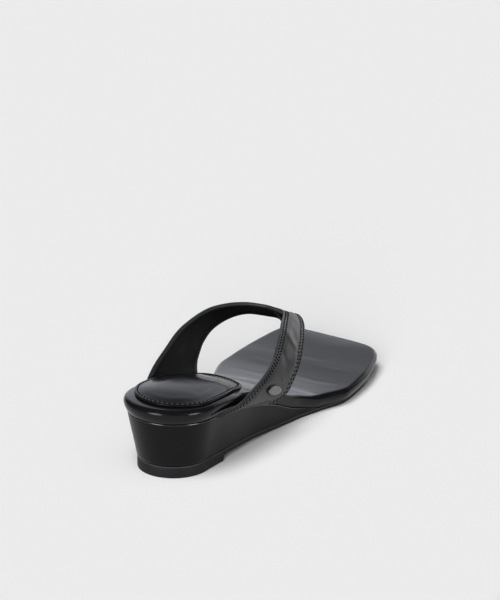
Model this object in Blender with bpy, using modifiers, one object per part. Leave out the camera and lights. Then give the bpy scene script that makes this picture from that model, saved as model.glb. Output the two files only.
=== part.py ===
"""Black leather wedge flip-flop for the right foot.

Metres, +Z up. +Y points to the toe and +X to the little-toe side. The origin is on the floor, under the
middle of the shoe's box. Shapes are worked out in millimetres from the back of the heel, and the parts
hang on one empty that carries them to the origin.
"""
from __future__ import annotations

import math
from collections.abc import Callable, Sequence
from dataclasses import dataclass
from typing import NamedTuple

import bmesh
import bpy
from mathutils import Matrix, Vector

MM = 0.001

# Driving sizes, in millimetres
LENGTH = 246.7
GAP = 0.3
HEEL_RADIUS = 30.6
TOE_DEPTH = 23.0
TOE_SQUARENESS = 4.9
TOE_SLANT = 0.094
SLANT_FROM = 120.0
HEEL_LIFT_FRONT = 50.0
BREAST_SLOPE = 0.5
FOOTBED_SHOULDER = 3.6
FOOTBED_TUCK = 2.2
FOOTBED_SWELL = 1.8
CROWN_EDGE = 0.9
WEDGE_OVERHANG = 2.0
WEDGE_END = 150.0
PAD_BACK = 7.5
PAD_FRONT = 92.0
PAD_MARGIN = 3.2
PAD_BACK_DEPTH = 28.2
PAD_FRONT_DEPTH = 25.6
PAD_SQUARENESS = 6.0
PAD_SLANT = 0.4
PAD_TAPER = 5.8
TAPER_FROM = 40.0
PAD_EDGE = 2.0
PAD_CROWN = 1.6
STRAP_WALL = 2.2
STRAP_CROWN = 0.6
STRAP_TUCK = 1.0
STRAP_FEET = {"outer": (28.0, 100.0), "inner": (44.0, 107.0)}
POST_X = -10.0
POST_Y = 194.0
POST_WIDE = 4.6
POST_LONG = 9.0
POST_FLARE = 0.25
POST_ACROSS = 0.78
STUD_LONG = 17.2
STUD_HIGH = 6.0
STUD_PROUD = 1.2
STUD_EDGE = 0.4
STUD_SECTION = 1.65
STUD_ACROSS = 0.55
STUD_TURN = -5.5

# Mesh fineness
STATION_STEP = 8.0
END_STEPS = 9
SHOULDER_STEPS = 5
SWELL_LEVELS = (0.0, 0.2, 0.45, 0.7)
CROWN_LEVELS = (0.15, 0.4, 0.7)
STRAP_STEPS = 3
STRAP_ACROSS = 8
POST_LEVELS = (0.0, 0.15, 0.5, 0.85, 1.0)
ROUND_STEPS = 24
SHARP_ANGLE = 40.0


class SoleRow(NamedTuple):
    """One station of the sole, in millimetres from the back of the heel."""

    y: float
    inner: float  # half width of the footbed on the big-toe side
    outer: float  # half width of the footbed on the little-toe side
    wedge: float  # height of the wedge
    outsole: float  # thickness of the outsole
    floor: float  # underside of the outsole, apart from the heel lift
    footbed: float  # thickness of the footbed
    tuck: float  # how much further in the wall lies where the wedge runs out
    taper: float  # lean of the wedge's wall, sideways for each unit of height
    crown: float  # rise of the padded footbed from its shoulder to its middle


SOLE = (
    SoleRow(0.0, 30.6, 30.6, 30.8, 3.2, 4.2, 9.4, 0.0, 0.205, 1.0),
    SoleRow(30.0, 30.6, 30.6, 29.3, 3.2, 4.2, 9.4, 0.0, 0.19, 2.0),
    SoleRow(55.0, 29.9, 30.6, 26.5, 3.2, 4.0, 9.4, 0.0, 0.14, 2.8),
    SoleRow(80.0, 28.0, 30.0, 21.2, 3.0, 3.1, 9.4, 0.0, 0.09, 2.8),
    SoleRow(105.0, 26.8, 31.2, 15.7, 2.7, 1.3, 9.4, 0.0, 0.07, 2.2),
    SoleRow(130.0, 31.0, 33.8, 6.6, 2.4, 0.0, 9.4, 0.0, 0.05, 1.8),
    SoleRow(152.0, 42.6, 40.3, 0.7, 2.5, 0.0, 8.6, 0.6, 0.05, 1.8),
    SoleRow(176.0, 50.2, 48.0, 0.0, 2.6, 0.0, 8.2, 1.2, 0.05, 1.8),
    SoleRow(203.0, 49.3, 46.1, 0.0, 2.6, 0.3, 8.7, 1.2, 0.05, 1.8),
    SoleRow(LENGTH, 42.0, 34.4, 0.0, 3.2, 3.8, 7.1, 1.4, 0.05, 1.4),
)


class StrapRow(NamedTuple):
    """One section of the strap, across its width: where its back and its front edge lie."""

    back: tuple[float, float, float]
    front: tuple[float, float, float]


STRAP = {
    "outer_rise": StrapRow((35.2, 52.0, 39.0), (35.4, 112.4, 26.0)),
    "outer_wall": StrapRow((35.8, 69.0, 43.7), (36.2, 119.0, 31.6)),
    "outer_side": StrapRow((34.5, 85.0, 47.4), (35.2, 127.5, 36.9)),
    "outer_turn": StrapRow((30.0, 104.0, 51.4), (32.3, 138.0, 42.5)),
    "outer_top": StrapRow((21.0, 127.5, 57.0), (23.5, 157.5, 48.5)),
    "outer_crest": StrapRow((10.6, 150.3, 59.2), (12.0, 177.0, 49.2)),
    "crest": StrapRow((2.6, 166.3, 57.6), (2.0, 188.0, 48.2)),
    "outer_tongue": StrapRow((-2.2, 171.5, 56.9), (-5.5, 196.5, 38.5)),
    "point": StrapRow((-5.3, 172.5, 56.9), (-10.0, 199.0, 32.5)),
    "inner_tongue": StrapRow((-8.2, 171.5, 57.5), (-13.5, 193.0, 42.0)),
    "inner_crest": StrapRow((-13.2, 168.3, 59.3), (-18.8, 184.2, 46.3)),
    "inner_top": StrapRow((-21.0, 158.0, 62.8), (-28.2, 172.5, 50.0)),
    "inner_turn": StrapRow((-28.0, 143.0, 65.4), (-34.6, 159.0, 49.6)),
    "inner_side": StrapRow((-33.0, 125.0, 65.9), (-37.3, 142.2, 47.0)),
    "inner_wall": StrapRow((-35.0, 98.0, 62.1), (-37.6, 130.8, 42.3)),
    "inner_rise": StrapRow((-34.2, 77.5, 55.0), (-36.5, 123.0, 37.2)),
    "inner_flare": StrapRow((-33.2, 60.0, 47.6), (-34.5, 115.8, 30.7)),
}


def hermite(knots: Sequence[float], values: Sequence[float], slopes: Sequence[float], at: float) -> float:
    """Cubic through the knots with the given slopes."""
    last = len(knots) - 2
    i = max(0, min(last, sum(1 for knot in knots if knot <= at) - 1))
    span = knots[i + 1] - knots[i]
    t = (at - knots[i]) / span
    rise = values[i + 1] - values[i]
    start = slopes[i] * span - rise
    end = rise - slopes[i + 1] * span
    return values[i] + rise * t + t * (1 - t) * (start * (1 - t) + end * t)


def chord_slopes(knots: Sequence[float], values: Sequence[float]) -> list[float]:
    """Slope of the chord over each span between neighbouring knots."""
    return [(values[i + 1] - values[i]) / (knots[i + 1] - knots[i]) for i in range(len(knots) - 1)]


def sole(y: float, column: str) -> float:
    """Value of a column of the sole's table, smooth along the shoe and with no overshoot."""
    knots = [row.y for row in SOLE]
    values = [getattr(row, column) for row in SOLE]
    chords = chord_slopes(knots, values)
    slopes = [chords[0]]
    for before, after in zip(chords, chords[1:]):
        slopes.append(2 * before * after / (before + after) if before * after > 0 else 0.0)
    slopes.append(chords[-1])
    return hermite(knots, values, slopes, min(max(y, 0.0), LENGTH))


def outsole_top(y: float) -> float:
    """Height of the outsole's upper face."""
    return sole(y, "floor") + sole(y, "outsole")


def outsole_under(y: float) -> float:
    """Height of the outsole's tread: the heel lift stands on the floor, then the waist arches clear."""
    return 0.0 if y <= HEEL_LIFT_FRONT else sole(y, "floor")


def footbed_under(y: float) -> float:
    """Height of the footbed's underside, on the wedge or straight on the outsole."""
    return outsole_top(y) + sole(y, "wedge") + GAP


def footbed_top(y: float) -> float:
    """Height of the footbed's upper face along its shoulder."""
    return footbed_under(y) + sole(y, "footbed")


def wall_inset(y: float, height: float) -> float:
    """How far the wedge's leaning wall lies inside the footbed's outline at a height."""
    return WEDGE_OVERHANG + sole(y, "taper") * max(0.0, footbed_under(y) - height)


def slant(y: float) -> float:
    """How far a line across the shoe runs back for each unit towards the outer side."""
    share = min(max((y - SLANT_FROM) / (LENGTH - SLANT_FROM), 0.0), 1.0)
    return TOE_SLANT * share * share * (3 - 2 * share)


@dataclass(frozen=True)
class Outline:
    """Plan outline inside the footbed's half widths, round at the back and squared off in front."""

    back: float
    front: float
    margin: float
    back_depth: float
    front_depth: float
    squareness: float
    front_slant: Callable[[float], float]
    outer_taper: float

    def half_width(self, y: float, side: str) -> float:
        """Half width at a station, rounded off towards both ends."""
        width = sole(y, side) - self.margin
        if side == "outer":
            width -= self.outer_taper * (max(0.0, y - TAPER_FROM) / (self.front - TAPER_FROM)) ** 2
        before = max(0.0, (self.back + self.back_depth - y) / self.back_depth)
        beyond = max(0.0, (y - self.front + self.front_depth) / self.front_depth)
        power = self.squareness
        front_share = max(0.0, 1 - beyond**power) ** (1 / power)
        return width * math.sqrt(max(0.0, 1 - before**2)) * front_share

    def point(self, y: float, side: str) -> Vector:
        """Point of the outline at a station on one side."""
        x = self.half_width(y, side) * (1 if side == "outer" else -1)
        return Vector((x, y - self.front_slant(y) * x, 0.0))

    def spine(self, y: float) -> Vector:
        """Point on the middle line that the outline draws in to, level with a station."""
        inside = min(max(y, self.back + self.back_depth), self.front - self.front_depth)
        return Vector((0.0, inside, 0.0))

    def edge_share(self, spot: Vector) -> float:
        """How far out a point lies, from 0 on the middle line to 1 on the outline."""
        y = spot.y + self.front_slant(spot.y) * spot.x
        inside = self.spine(y).y
        across = abs(spot.x) / (sole(inside, "outer" if spot.x > 0 else "inner") - self.margin)
        behind = max(0.0, (inside - y) / self.back_depth)
        ahead = max(0.0, (y - inside) / self.front_depth)
        power = self.squareness if ahead > 0 else 2.0
        return (across**power + behind**power + ahead**power) ** (1 / power)

    def stations(self, end: float | None = None, extra: Sequence[float] = ()) -> list[float]:
        """Stations from the back to the front, close together where the outline turns."""
        straight_from = self.back + self.back_depth
        straight_to = self.front - self.front_depth
        quarter = [math.pi / 2 * i / END_STEPS for i in range(END_STEPS + 1)]
        found = [straight_from - self.back_depth * math.cos(angle) for angle in quarter]
        steps = max(1, round((straight_to - straight_from) / STATION_STEP))
        found += [straight_from + (straight_to - straight_from) * i / steps for i in range(1, steps)]
        power = 2 / self.squareness
        found += [straight_to + self.front_depth * math.sin(angle) ** power for angle in quarter]
        if end is not None:
            found = [y for y in found if y < end - 1] + [end]
        return sorted(found + list(extra))

    def ring(
        self,
        stations: Sequence[float],
        inset: Callable[[float], float],
        height: Callable[[Vector], float],
        drawn_in: float = 0.0,
    ) -> list[Vector]:
        """Closed loop of points: up the outer side, across the front and back down the inner side.

        Args:
            stations: the stations to place points at, from the back to the front.
            inset: how far inside the outline the loop runs at a station.
            height: height of the loop over a point of the floor.
            drawn_in: share of the way from there to the middle line.
        """
        comes_together = stations[-1] >= self.front
        places = [(y, "outer") for y in stations]
        places += [(y, "inner") for y in reversed(stations[1:-1] if comes_together else stations[1:])]
        base = [self.point(y, side) for y, side in places]
        loop = []
        for i, (y, _) in enumerate(places):
            before, after = base[i - 1], base[(i + 1) % len(base)]
            if not comes_together and i == len(stations) - 1:
                after = base[i]
            if not comes_together and i == len(stations):
                before = base[i]
            along = after - before
            outward = Vector((along.y, -along.x, 0.0)).normalized()
            spot = (base[i] - outward * inset(y)).lerp(self.spine(y), drawn_in)
            spot.z = height(spot)
            loop.append(spot)
        return loop


SOLE_OUTLINE = Outline(0.0, LENGTH, 0.0, HEEL_RADIUS, TOE_DEPTH, TOE_SQUARENESS, slant, 0.0)
PAD_OUTLINE = Outline(
    PAD_BACK,
    PAD_FRONT,
    PAD_MARGIN,
    PAD_BACK_DEPTH,
    PAD_FRONT_DEPTH,
    PAD_SQUARENESS,
    lambda y: PAD_SLANT * y / PAD_FRONT,
    PAD_TAPER,
)


def footbed_crown(spot: Vector) -> float:
    """Rise of the padded footbed over its shoulder at a point of the floor."""
    share = SOLE_OUTLINE.edge_share(spot) / CROWN_EDGE
    return sole(spot.y, "crown") * max(0.0, 1 - share**2)


class Home(NamedTuple):
    """Where the parts go: their collection and the empty that carries them."""

    parts: bpy.types.Collection
    carrier: bpy.types.Object


class Finish(NamedTuple):
    """Plain look of one part."""

    name: str
    colour: tuple[float, float, float]
    roughness: float
    metallic: float = 0.0


def plain_material(finish: Finish) -> bpy.types.Material:
    """Material of one colour."""
    material = bpy.data.materials.new(finish.name)
    material.use_nodes = True
    shader = material.node_tree.nodes["Principled BSDF"]
    shader.inputs["Base Color"].default_value = (*finish.colour, 1.0)
    shader.inputs["Roughness"].default_value = finish.roughness
    shader.inputs["Metallic"].default_value = finish.metallic
    return material


def finish_object(name: str, mesh: bpy.types.Mesh, finish: Finish, home: Home) -> bpy.types.Object:
    """Adds a mesh to the model as a named part with a material of its own."""
    part = bpy.data.objects.new(name, mesh)
    mesh.materials.append(plain_material(finish))
    mesh.shade_smooth()
    mesh.set_sharp_from_angle(angle=math.radians(SHARP_ANGLE))
    home.parts.objects.link(part)
    part.parent = home.carrier
    return part


def loft(name: str, rings: Sequence[Sequence[Vector]]) -> bpy.types.Mesh:
    """Closed solid through loops of equal length, with both ends closed by rungs across the loop."""
    shape = bmesh.new()
    loops = [[shape.verts.new(spot * MM) for spot in ring] for ring in rings]
    count = len(loops[0])
    for lower, upper in zip(loops, loops[1:]):
        for i in range(count):
            j = (i + 1) % count
            shape.faces.new((lower[i], lower[j], upper[j], upper[i]))
    for loop, turn in ((loops[0], -1), (loops[-1], 1)):
        for i in range(count // 2):
            corners = (loop[i], loop[i + 1], loop[count - i - 1], loop[(count - i) % count])
            shape.faces.new(tuple(dict.fromkeys(corners))[::turn])
    mesh = bpy.data.meshes.new(name)
    shape.to_mesh(mesh)
    shape.free()
    return mesh


def rounded_edge(radius: float, steps: int) -> list[tuple[float, float]]:
    """Quarter-round edge as pairs of inset and drop, from the wall to the face."""
    angles = [math.pi / 2 * i / steps for i in range(steps + 1)]
    return [(radius * (1 - math.cos(angle)), radius * (1 - math.sin(angle))) for angle in angles]


def outsole_mesh() -> bpy.types.Mesh:
    """Rubber sheet with the heel lift moulded on as a step."""
    stations = SOLE_OUTLINE.stations(extra=(HEEL_LIFT_FRONT, HEEL_LIFT_FRONT + BREAST_SLOPE))

    def inset(y: float) -> float:
        return wall_inset(y, outsole_top(y)) + sole(y, "tuck")

    under = SOLE_OUTLINE.ring(stations, inset, lambda spot: outsole_under(spot.y))
    top = SOLE_OUTLINE.ring(stations, inset, lambda spot: outsole_top(spot.y))
    return loft("outsole", (under, top))


def wedge_mesh() -> bpy.types.Mesh:
    """Wedge between outsole and footbed, its wall leaning in towards the floor."""
    stations = SOLE_OUTLINE.stations(end=WEDGE_END)
    rings = []
    for share in (0.0, 0.5, 1.0):

        def height(y: float) -> float:
            low = outsole_top(y) + GAP
            return low + (footbed_under(y) - GAP - low) * share

        def inset(y: float) -> float:
            return wall_inset(y, height(y)) + sole(y, "tuck")

        rings.append(SOLE_OUTLINE.ring(stations, inset, lambda spot: height(spot.y)))
    return loft("wedge", rings)


def footbed_mesh() -> bpy.types.Mesh:
    """Leather-wrapped platform: its side swells out from the tucked-in lower edge to a round shoulder."""
    stations = SOLE_OUTLINE.stations()
    rings = []
    for level in SWELL_LEVELS:

        def height(spot: Vector) -> float:
            wall = sole(spot.y, "footbed") - FOOTBED_SHOULDER
            return footbed_under(spot.y) + wall * level

        inset = FOOTBED_TUCK * (1 - level) ** FOOTBED_SWELL
        rings.append(SOLE_OUTLINE.ring(stations, lambda y: inset, height))
    for inset, drop in rounded_edge(FOOTBED_SHOULDER, SHOULDER_STEPS):
        rings.append(
            SOLE_OUTLINE.ring(stations, lambda y: inset, lambda spot: footbed_top(spot.y) - drop)
        )
    for share in CROWN_LEVELS:
        rings.append(
            SOLE_OUTLINE.ring(
                stations,
                lambda y: FOOTBED_SHOULDER,
                lambda spot: footbed_top(spot.y) + footbed_crown(spot),
                share,
            )
        )
    return loft("footbed", rings)


def heel_pad_mesh() -> bpy.types.Mesh:
    """Padded sock under the heel, lying on the footbed's crown and crowned itself."""
    stations = PAD_OUTLINE.stations()
    shares = (0.0, *CROWN_LEVELS)
    levels = [(share, 0.0) for share in reversed(shares)]
    levels += [(share, PAD_EDGE + PAD_CROWN * (1 - (1 - share) ** 2)) for share in shares]
    rings = []
    for share, rise in levels:
        rings.append(
            PAD_OUTLINE.ring(
                stations,
                lambda y: 0.0,
                lambda spot: footbed_top(spot.y) + footbed_crown(spot) + GAP + rise,
                share,
            )
        )
    return loft("heel_pad", rings)


def strap_foot(across: float, side: str) -> Vector:
    """Point on the strap's outer face where it leaves the seam under the footbed."""
    back, front = STRAP_FEET[side]
    y = back + (front - back) * across
    reach = SOLE_OUTLINE.half_width(y, side) - STRAP_TUCK + GAP + STRAP_WALL
    return Vector((reach if side == "outer" else -reach, y, footbed_under(y) + GAP))


def strap_edge(section: float, edge: str) -> Vector:
    """Point on the strap's back or front edge, at a section counted from the outer foot."""
    across = 0.0 if edge == "back" else 1.0
    middle = [getattr(row, edge) for row in STRAP.values()]
    points = [strap_foot(across, "outer"), *middle, strap_foot(across, "inner")]
    knots = list(range(len(points)))
    spot = []
    for axis in range(3):
        values = [point[axis] for point in points]
        chords = chord_slopes(knots, values)
        inner = [(before + after) / 2 for before, after in zip(chords, chords[1:])]
        spot.append(hermite(knots, values, [chords[0], *inner, chords[-1]], section))
    return Vector(spot)


def strap_point(section: float, across: float) -> Vector:
    """Point on the strap's outer face, crowned between its edges and following the seam at its feet."""
    last = len(STRAP) + 1
    back = strap_edge(section, "back")
    front = strap_edge(section, "front")
    ahead = strap_edge(min(section + 0.1, last), "back") + strap_edge(min(section + 0.1, last), "front")
    behind = strap_edge(max(section - 0.1, 0.0), "back") + strap_edge(max(section - 0.1, 0.0), "front")
    outward = (front - back).cross(ahead - behind).normalized()
    above_seam = min(1.0, section, last - section)
    spot = back.lerp(front, across) + outward * (STRAP_CROWN * above_seam * 4 * across * (1 - across))
    side = "outer" if section < last / 2 else "inner"
    straight = strap_foot(0.0, side).lerp(strap_foot(1.0, side), across)
    return spot + (strap_foot(across, side) - straight) * (1 - above_seam)


def strap_normal(section: float, across: float) -> Vector:
    """Direction out of the strap's outer face."""
    step = 0.02
    along = strap_point(section + step, across) - strap_point(section - step, across)
    over = strap_point(section, across + step) - strap_point(section, across - step)
    return over.cross(along).normalized()


def strap_mesh() -> bpy.types.Mesh:
    """Outer face of the V strap as an open sheet, its front edge drawn down to the toe post."""
    shape = bmesh.new()
    sections = [i / STRAP_STEPS for i in range((len(STRAP) + 1) * STRAP_STEPS + 1)]
    shares = [j / STRAP_ACROSS for j in range(STRAP_ACROSS + 1)]
    grid = [[shape.verts.new(strap_point(s, t) * MM) for t in shares] for s in sections]
    for one, two in zip(grid, grid[1:]):
        for j in range(STRAP_ACROSS):
            shape.faces.new((one[j], one[j + 1], two[j + 1], two[j]))
    mesh = bpy.data.meshes.new("strap")
    shape.to_mesh(mesh)
    shape.free()
    return mesh


def toe_post_mesh() -> bpy.types.Mesh:
    """Oval leather post from the footbed up to the underside of the strap's point."""
    section = list(STRAP).index("point") + 1
    outward = strap_normal(section, POST_ACROSS)
    seat = strap_point(section, POST_ACROSS) - outward * (STRAP_WALL + 2 * GAP)
    rings = []
    for level in POST_LEVELS:
        flare = 1 + POST_FLARE * (2 * level - 1) ** 4
        ring = []
        for i in range(ROUND_STEPS):
            angle = 2 * math.pi * i / ROUND_STEPS
            x = POST_X + POST_WIDE / 2 * flare * math.sin(angle)
            y = POST_Y - POST_LONG / 2 * flare * math.cos(angle)
            low = footbed_top(y) + footbed_crown(Vector((x, y, 0.0))) + GAP
            high = seat.z - (outward.x * (x - seat.x) + outward.y * (y - seat.y)) / outward.z
            ring.append(Vector((x, y, low + (high - low) * level)))
        rings.append(ring)
    return loft("toe_post", rings)


def stud_mesh() -> bpy.types.Mesh:
    """Oval metal stud with a softened rim, lying flat with its long way along X."""
    angles = [2 * math.pi * i / ROUND_STEPS for i in range(ROUND_STEPS)]
    rings = []
    for inset, height in ((0.0, 0.0), (0.0, STUD_PROUD - STUD_EDGE), (STUD_EDGE, STUD_PROUD)):
        long, high = STUD_LONG / 2 - inset, STUD_HIGH / 2 - inset
        rings.append([Vector((long * math.sin(a), -high * math.cos(a), height)) for a in angles])
    return loft("stud", rings)


def main() -> None:
    """Builds the shoe."""
    for leftover in list(bpy.data.objects):
        bpy.data.objects.remove(leftover, do_unlink=True)
    parts = bpy.data.collections.new("wedge_flip_flop")
    bpy.context.scene.collection.children.link(parts)
    carrier = bpy.data.objects.new("shoe_origin", None)
    rim = SOLE_OUTLINE.ring(SOLE_OUTLINE.stations(), lambda y: 0.0, lambda spot: 0.0)
    for axis in (0, 1):
        reach = [spot[axis] for spot in rim]
        carrier.location[axis] = -(max(reach) + min(reach)) / 2 * MM
    parts.objects.link(carrier)
    home = Home(parts, carrier)

    finish_object("outsole", outsole_mesh(), Finish("outsole_rubber", (0.012, 0.012, 0.013), 0.7), home)
    finish_object("wedge", wedge_mesh(), Finish("wedge_leather", (0.012, 0.012, 0.012), 0.4), home)
    finish_object("footbed", footbed_mesh(), Finish("footbed_leather", (0.016, 0.016, 0.017), 0.45), home)
    finish_object("heel_pad", heel_pad_mesh(), Finish("pad_leather", (0.016, 0.016, 0.017), 0.4), home)
    finish_object("toe_post", toe_post_mesh(), Finish("post_leather", (0.012, 0.012, 0.012), 0.45), home)
    strap = finish_object("strap", strap_mesh(), Finish("strap_leather", (0.015, 0.015, 0.016), 0.4), home)
    wall = strap.modifiers.new("wall", "SOLIDIFY")
    wall.thickness = STRAP_WALL * MM
    wall.offset = -1.0
    wall.use_even_offset = True

    stud = finish_object("stud", stud_mesh(), Finish("stud_steel", (0.6, 0.6, 0.58), 0.25, 1.0), home)
    outward = strap_normal(STUD_SECTION, STUD_ACROSS)
    along = strap_point(STUD_SECTION, STUD_ACROSS + 0.05) - strap_point(STUD_SECTION, STUD_ACROSS - 0.05)
    long_way = (along - outward * along.dot(outward)).normalized()
    seat = Matrix((long_way, outward.cross(long_way), outward)).transposed()
    turn = seat @ Matrix.Rotation(math.radians(STUD_TURN), 3, "Z")
    stud.location = (strap_point(STUD_SECTION, STUD_ACROSS) + outward * GAP) * MM
    stud.rotation_euler = turn.to_euler()


main()
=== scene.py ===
"""Looks of a black leather wedge flip-flop, a right shoe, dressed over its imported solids.

Shapes are worked out in millimetres in the shoemaker's frame: y runs from the back of the heel to the toe,
x to the little-toe side and z up from the floor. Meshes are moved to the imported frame, in metres, when they
are made.
"""
from __future__ import annotations

import logging
import math
from collections.abc import Callable, Sequence
from dataclasses import dataclass, field, replace
from enum import Enum
from typing import NamedTuple

import bpy
import numpy as np
from mathutils import Matrix, Vector

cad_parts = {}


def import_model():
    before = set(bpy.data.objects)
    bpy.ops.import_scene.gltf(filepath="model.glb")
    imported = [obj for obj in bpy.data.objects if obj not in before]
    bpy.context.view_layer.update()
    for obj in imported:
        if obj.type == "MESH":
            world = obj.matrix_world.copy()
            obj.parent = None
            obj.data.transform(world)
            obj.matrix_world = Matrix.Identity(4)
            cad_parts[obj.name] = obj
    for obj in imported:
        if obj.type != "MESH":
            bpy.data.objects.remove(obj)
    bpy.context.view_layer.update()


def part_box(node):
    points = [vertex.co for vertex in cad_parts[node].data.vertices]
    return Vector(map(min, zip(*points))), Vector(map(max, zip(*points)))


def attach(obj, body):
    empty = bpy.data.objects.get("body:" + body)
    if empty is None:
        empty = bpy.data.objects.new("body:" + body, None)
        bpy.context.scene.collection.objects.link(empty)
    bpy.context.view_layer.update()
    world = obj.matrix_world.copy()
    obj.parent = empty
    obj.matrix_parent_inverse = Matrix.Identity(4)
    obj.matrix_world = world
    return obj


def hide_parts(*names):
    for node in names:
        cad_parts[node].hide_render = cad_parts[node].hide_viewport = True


LOG = logging.getLogger("wedge_flip_flop")
MM = 0.001
BODY = "root"
Numbers = np.ndarray
Inputs = dict[str | int, object]

# Sizes of the shoe, in millimetres: those of its solids, but with a flatter crown on the forefoot
LENGTH = 246.7
GAP = 0.3
HEEL_RADIUS = 30.6
TOE_DEPTH = 23.0
TOE_SQUARENESS = 4.9
TOE_SLANT = 0.094
SLANT_FROM = 120.0
HEEL_LIFT_FRONT = 50.0
BREAST_SLOPE = 0.5
FOOTBED_SHOULDER = 3.6
FOOTBED_TUCK = 2.2
FOOTBED_SWELL = 1.8
CROWN_EDGE = 0.9
WEDGE_OVERHANG = 2.0
WEDGE_END = 150.0
PAD_BACK = 7.5
PAD_FRONT = 92.0
PAD_MARGIN = 3.2
PAD_BACK_DEPTH = 28.2
PAD_FRONT_DEPTH = 25.6
PAD_SQUARENESS = 6.0
PAD_SLANT = 0.4
PAD_TAPER = 5.8
TAPER_FROM = 40.0
STRAP_WALL = 2.2
STRAP_CROWN = 0.6
STRAP_TUCK = 1.0
POST_X = -10.0
POST_Y = 194.0
POST_WIDE = 4.6
POST_LONG = 9.0
POST_FLARE = 0.25
POST_ACROSS = 0.78
STUD_LONG = 17.2
STUD_HIGH = 6.0
STUD_PROUD = 1.2
STUD_SECTION = 1.65
STUD_ACROSS = 0.55
STUD_TURN = -5.5

# How finely curves are followed and faces closed
TURN_POINTS = 600
RUN_POINTS = 800
STRAP_POINTS = 2400
RIM_STEP = 1.0
INNERMOST = 0.97  # how far towards the middle line a face's last loop lies


class Side(Enum):
    """The two sides of the shoe, as the sign of x."""

    OUTER = 1
    INNER = -1


class SoleRow(NamedTuple):
    """One station of the sole, in millimetres from the back of the heel."""

    y: float
    inner: float  # half width of the footbed on the big-toe side
    outer: float  # half width of the footbed on the little-toe side
    wedge: float  # height of the wedge
    outsole: float  # thickness of the outsole
    floor: float  # underside of the outsole, apart from the heel lift
    footbed: float  # thickness of the footbed
    tuck: float  # how much further in the wall lies where the wedge runs out
    taper: float  # lean of the wedge's wall, sideways for each unit of height
    crown: float  # rise of the padded footbed from its shoulder to its middle


SOLE = (
    SoleRow(0.0, 30.6, 30.6, 30.8, 3.2, 4.2, 9.4, 0.0, 0.205, 1.0),
    SoleRow(30.0, 30.6, 30.6, 29.3, 3.2, 4.2, 9.4, 0.0, 0.19, 2.0),
    SoleRow(55.0, 29.9, 30.6, 26.5, 3.2, 4.0, 9.4, 0.0, 0.14, 2.8),
    SoleRow(80.0, 28.0, 30.0, 21.2, 3.0, 3.1, 9.4, 0.0, 0.09, 2.8),
    SoleRow(105.0, 26.8, 31.2, 15.7, 2.7, 1.3, 9.4, 0.0, 0.07, 2.2),
    SoleRow(130.0, 31.0, 33.8, 6.6, 2.4, 0.0, 9.4, 0.0, 0.05, 1.4),
    SoleRow(152.0, 42.6, 40.3, 0.7, 2.5, 0.0, 8.6, 0.6, 0.05, 1.1),
    SoleRow(176.0, 50.2, 48.0, 0.0, 2.6, 0.0, 8.2, 1.2, 0.05, 1.0),
    SoleRow(203.0, 49.3, 46.1, 0.0, 2.6, 0.3, 8.7, 1.2, 0.05, 1.0),
    SoleRow(LENGTH, 42.0, 34.4, 0.0, 3.2, 3.8, 7.1, 1.4, 0.05, 0.8),
)


class StrapRow(NamedTuple):
    """One section of the strap, across its width: where its back and its front edge lie."""

    back: tuple[float, float, float]
    front: tuple[float, float, float]


STRAP = {
    "outer_rise": StrapRow((35.2, 52.0, 39.0), (35.4, 112.4, 26.0)),
    "outer_wall": StrapRow((35.8, 69.0, 43.7), (36.2, 119.0, 31.6)),
    "outer_side": StrapRow((34.5, 85.0, 47.4), (35.2, 127.5, 36.9)),
    "outer_turn": StrapRow((30.0, 104.0, 51.4), (32.3, 138.0, 42.5)),
    "outer_top": StrapRow((21.0, 127.5, 57.0), (23.5, 157.5, 48.5)),
    "outer_crest": StrapRow((10.6, 150.3, 59.2), (12.0, 177.0, 49.2)),
    "crest": StrapRow((2.6, 166.3, 57.6), (2.0, 188.0, 48.2)),
    "outer_tongue": StrapRow((-2.2, 171.5, 56.9), (-5.5, 196.5, 38.5)),
    "point": StrapRow((-5.3, 172.5, 56.9), (-10.0, 199.0, 32.5)),
    "inner_tongue": StrapRow((-8.2, 171.5, 57.5), (-13.5, 193.0, 42.0)),
    "inner_crest": StrapRow((-13.2, 168.3, 59.3), (-18.8, 184.2, 46.3)),
    "inner_top": StrapRow((-21.0, 158.0, 62.8), (-28.2, 172.5, 50.0)),
    "inner_turn": StrapRow((-28.0, 143.0, 65.4), (-34.6, 159.0, 49.6)),
    "inner_side": StrapRow((-33.0, 125.0, 65.9), (-37.3, 142.2, 47.0)),
    "inner_wall": StrapRow((-35.0, 98.0, 62.1), (-37.6, 130.8, 42.3)),
    "inner_rise": StrapRow((-34.2, 77.5, 55.0), (-36.5, 123.0, 37.2)),
    "inner_flare": StrapRow((-33.2, 60.0, 47.6), (-34.5, 115.8, 30.7)),
}
STRAP_FEET = {Side.OUTER: (28.0, 100.0), Side.INNER: (44.0, 107.0)}


# Small tools


def linear(hex_colour: str) -> tuple[float, float, float, float]:
    """Turns an sRGB hex colour into linear red, green, blue and alpha.

    Args:
        hex_colour: six hex digits, such as "1c1c1e".

    Returns:
        The linear colour, fully opaque.
    """
    shares = [int(hex_colour[i : i + 2], 16) / 255 for i in (0, 2, 4)]
    light = [c / 12.92 if c <= 0.04045 else ((c + 0.055) / 1.055) ** 2.4 for c in shares]
    return (light[0], light[1], light[2], 1.0)


def set_inputs(node: bpy.types.Node, inputs: Inputs) -> None:
    """Sets a node's input sockets.

    Args:
        node: the node.
        inputs: its sockets by name or number, each with a value or the socket to link from.
    """
    for key, value in inputs.items():
        if isinstance(value, bpy.types.NodeSocket):
            node.id_data.links.new(value, node.inputs[key])
        else:
            node.inputs[key].default_value = value


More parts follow.
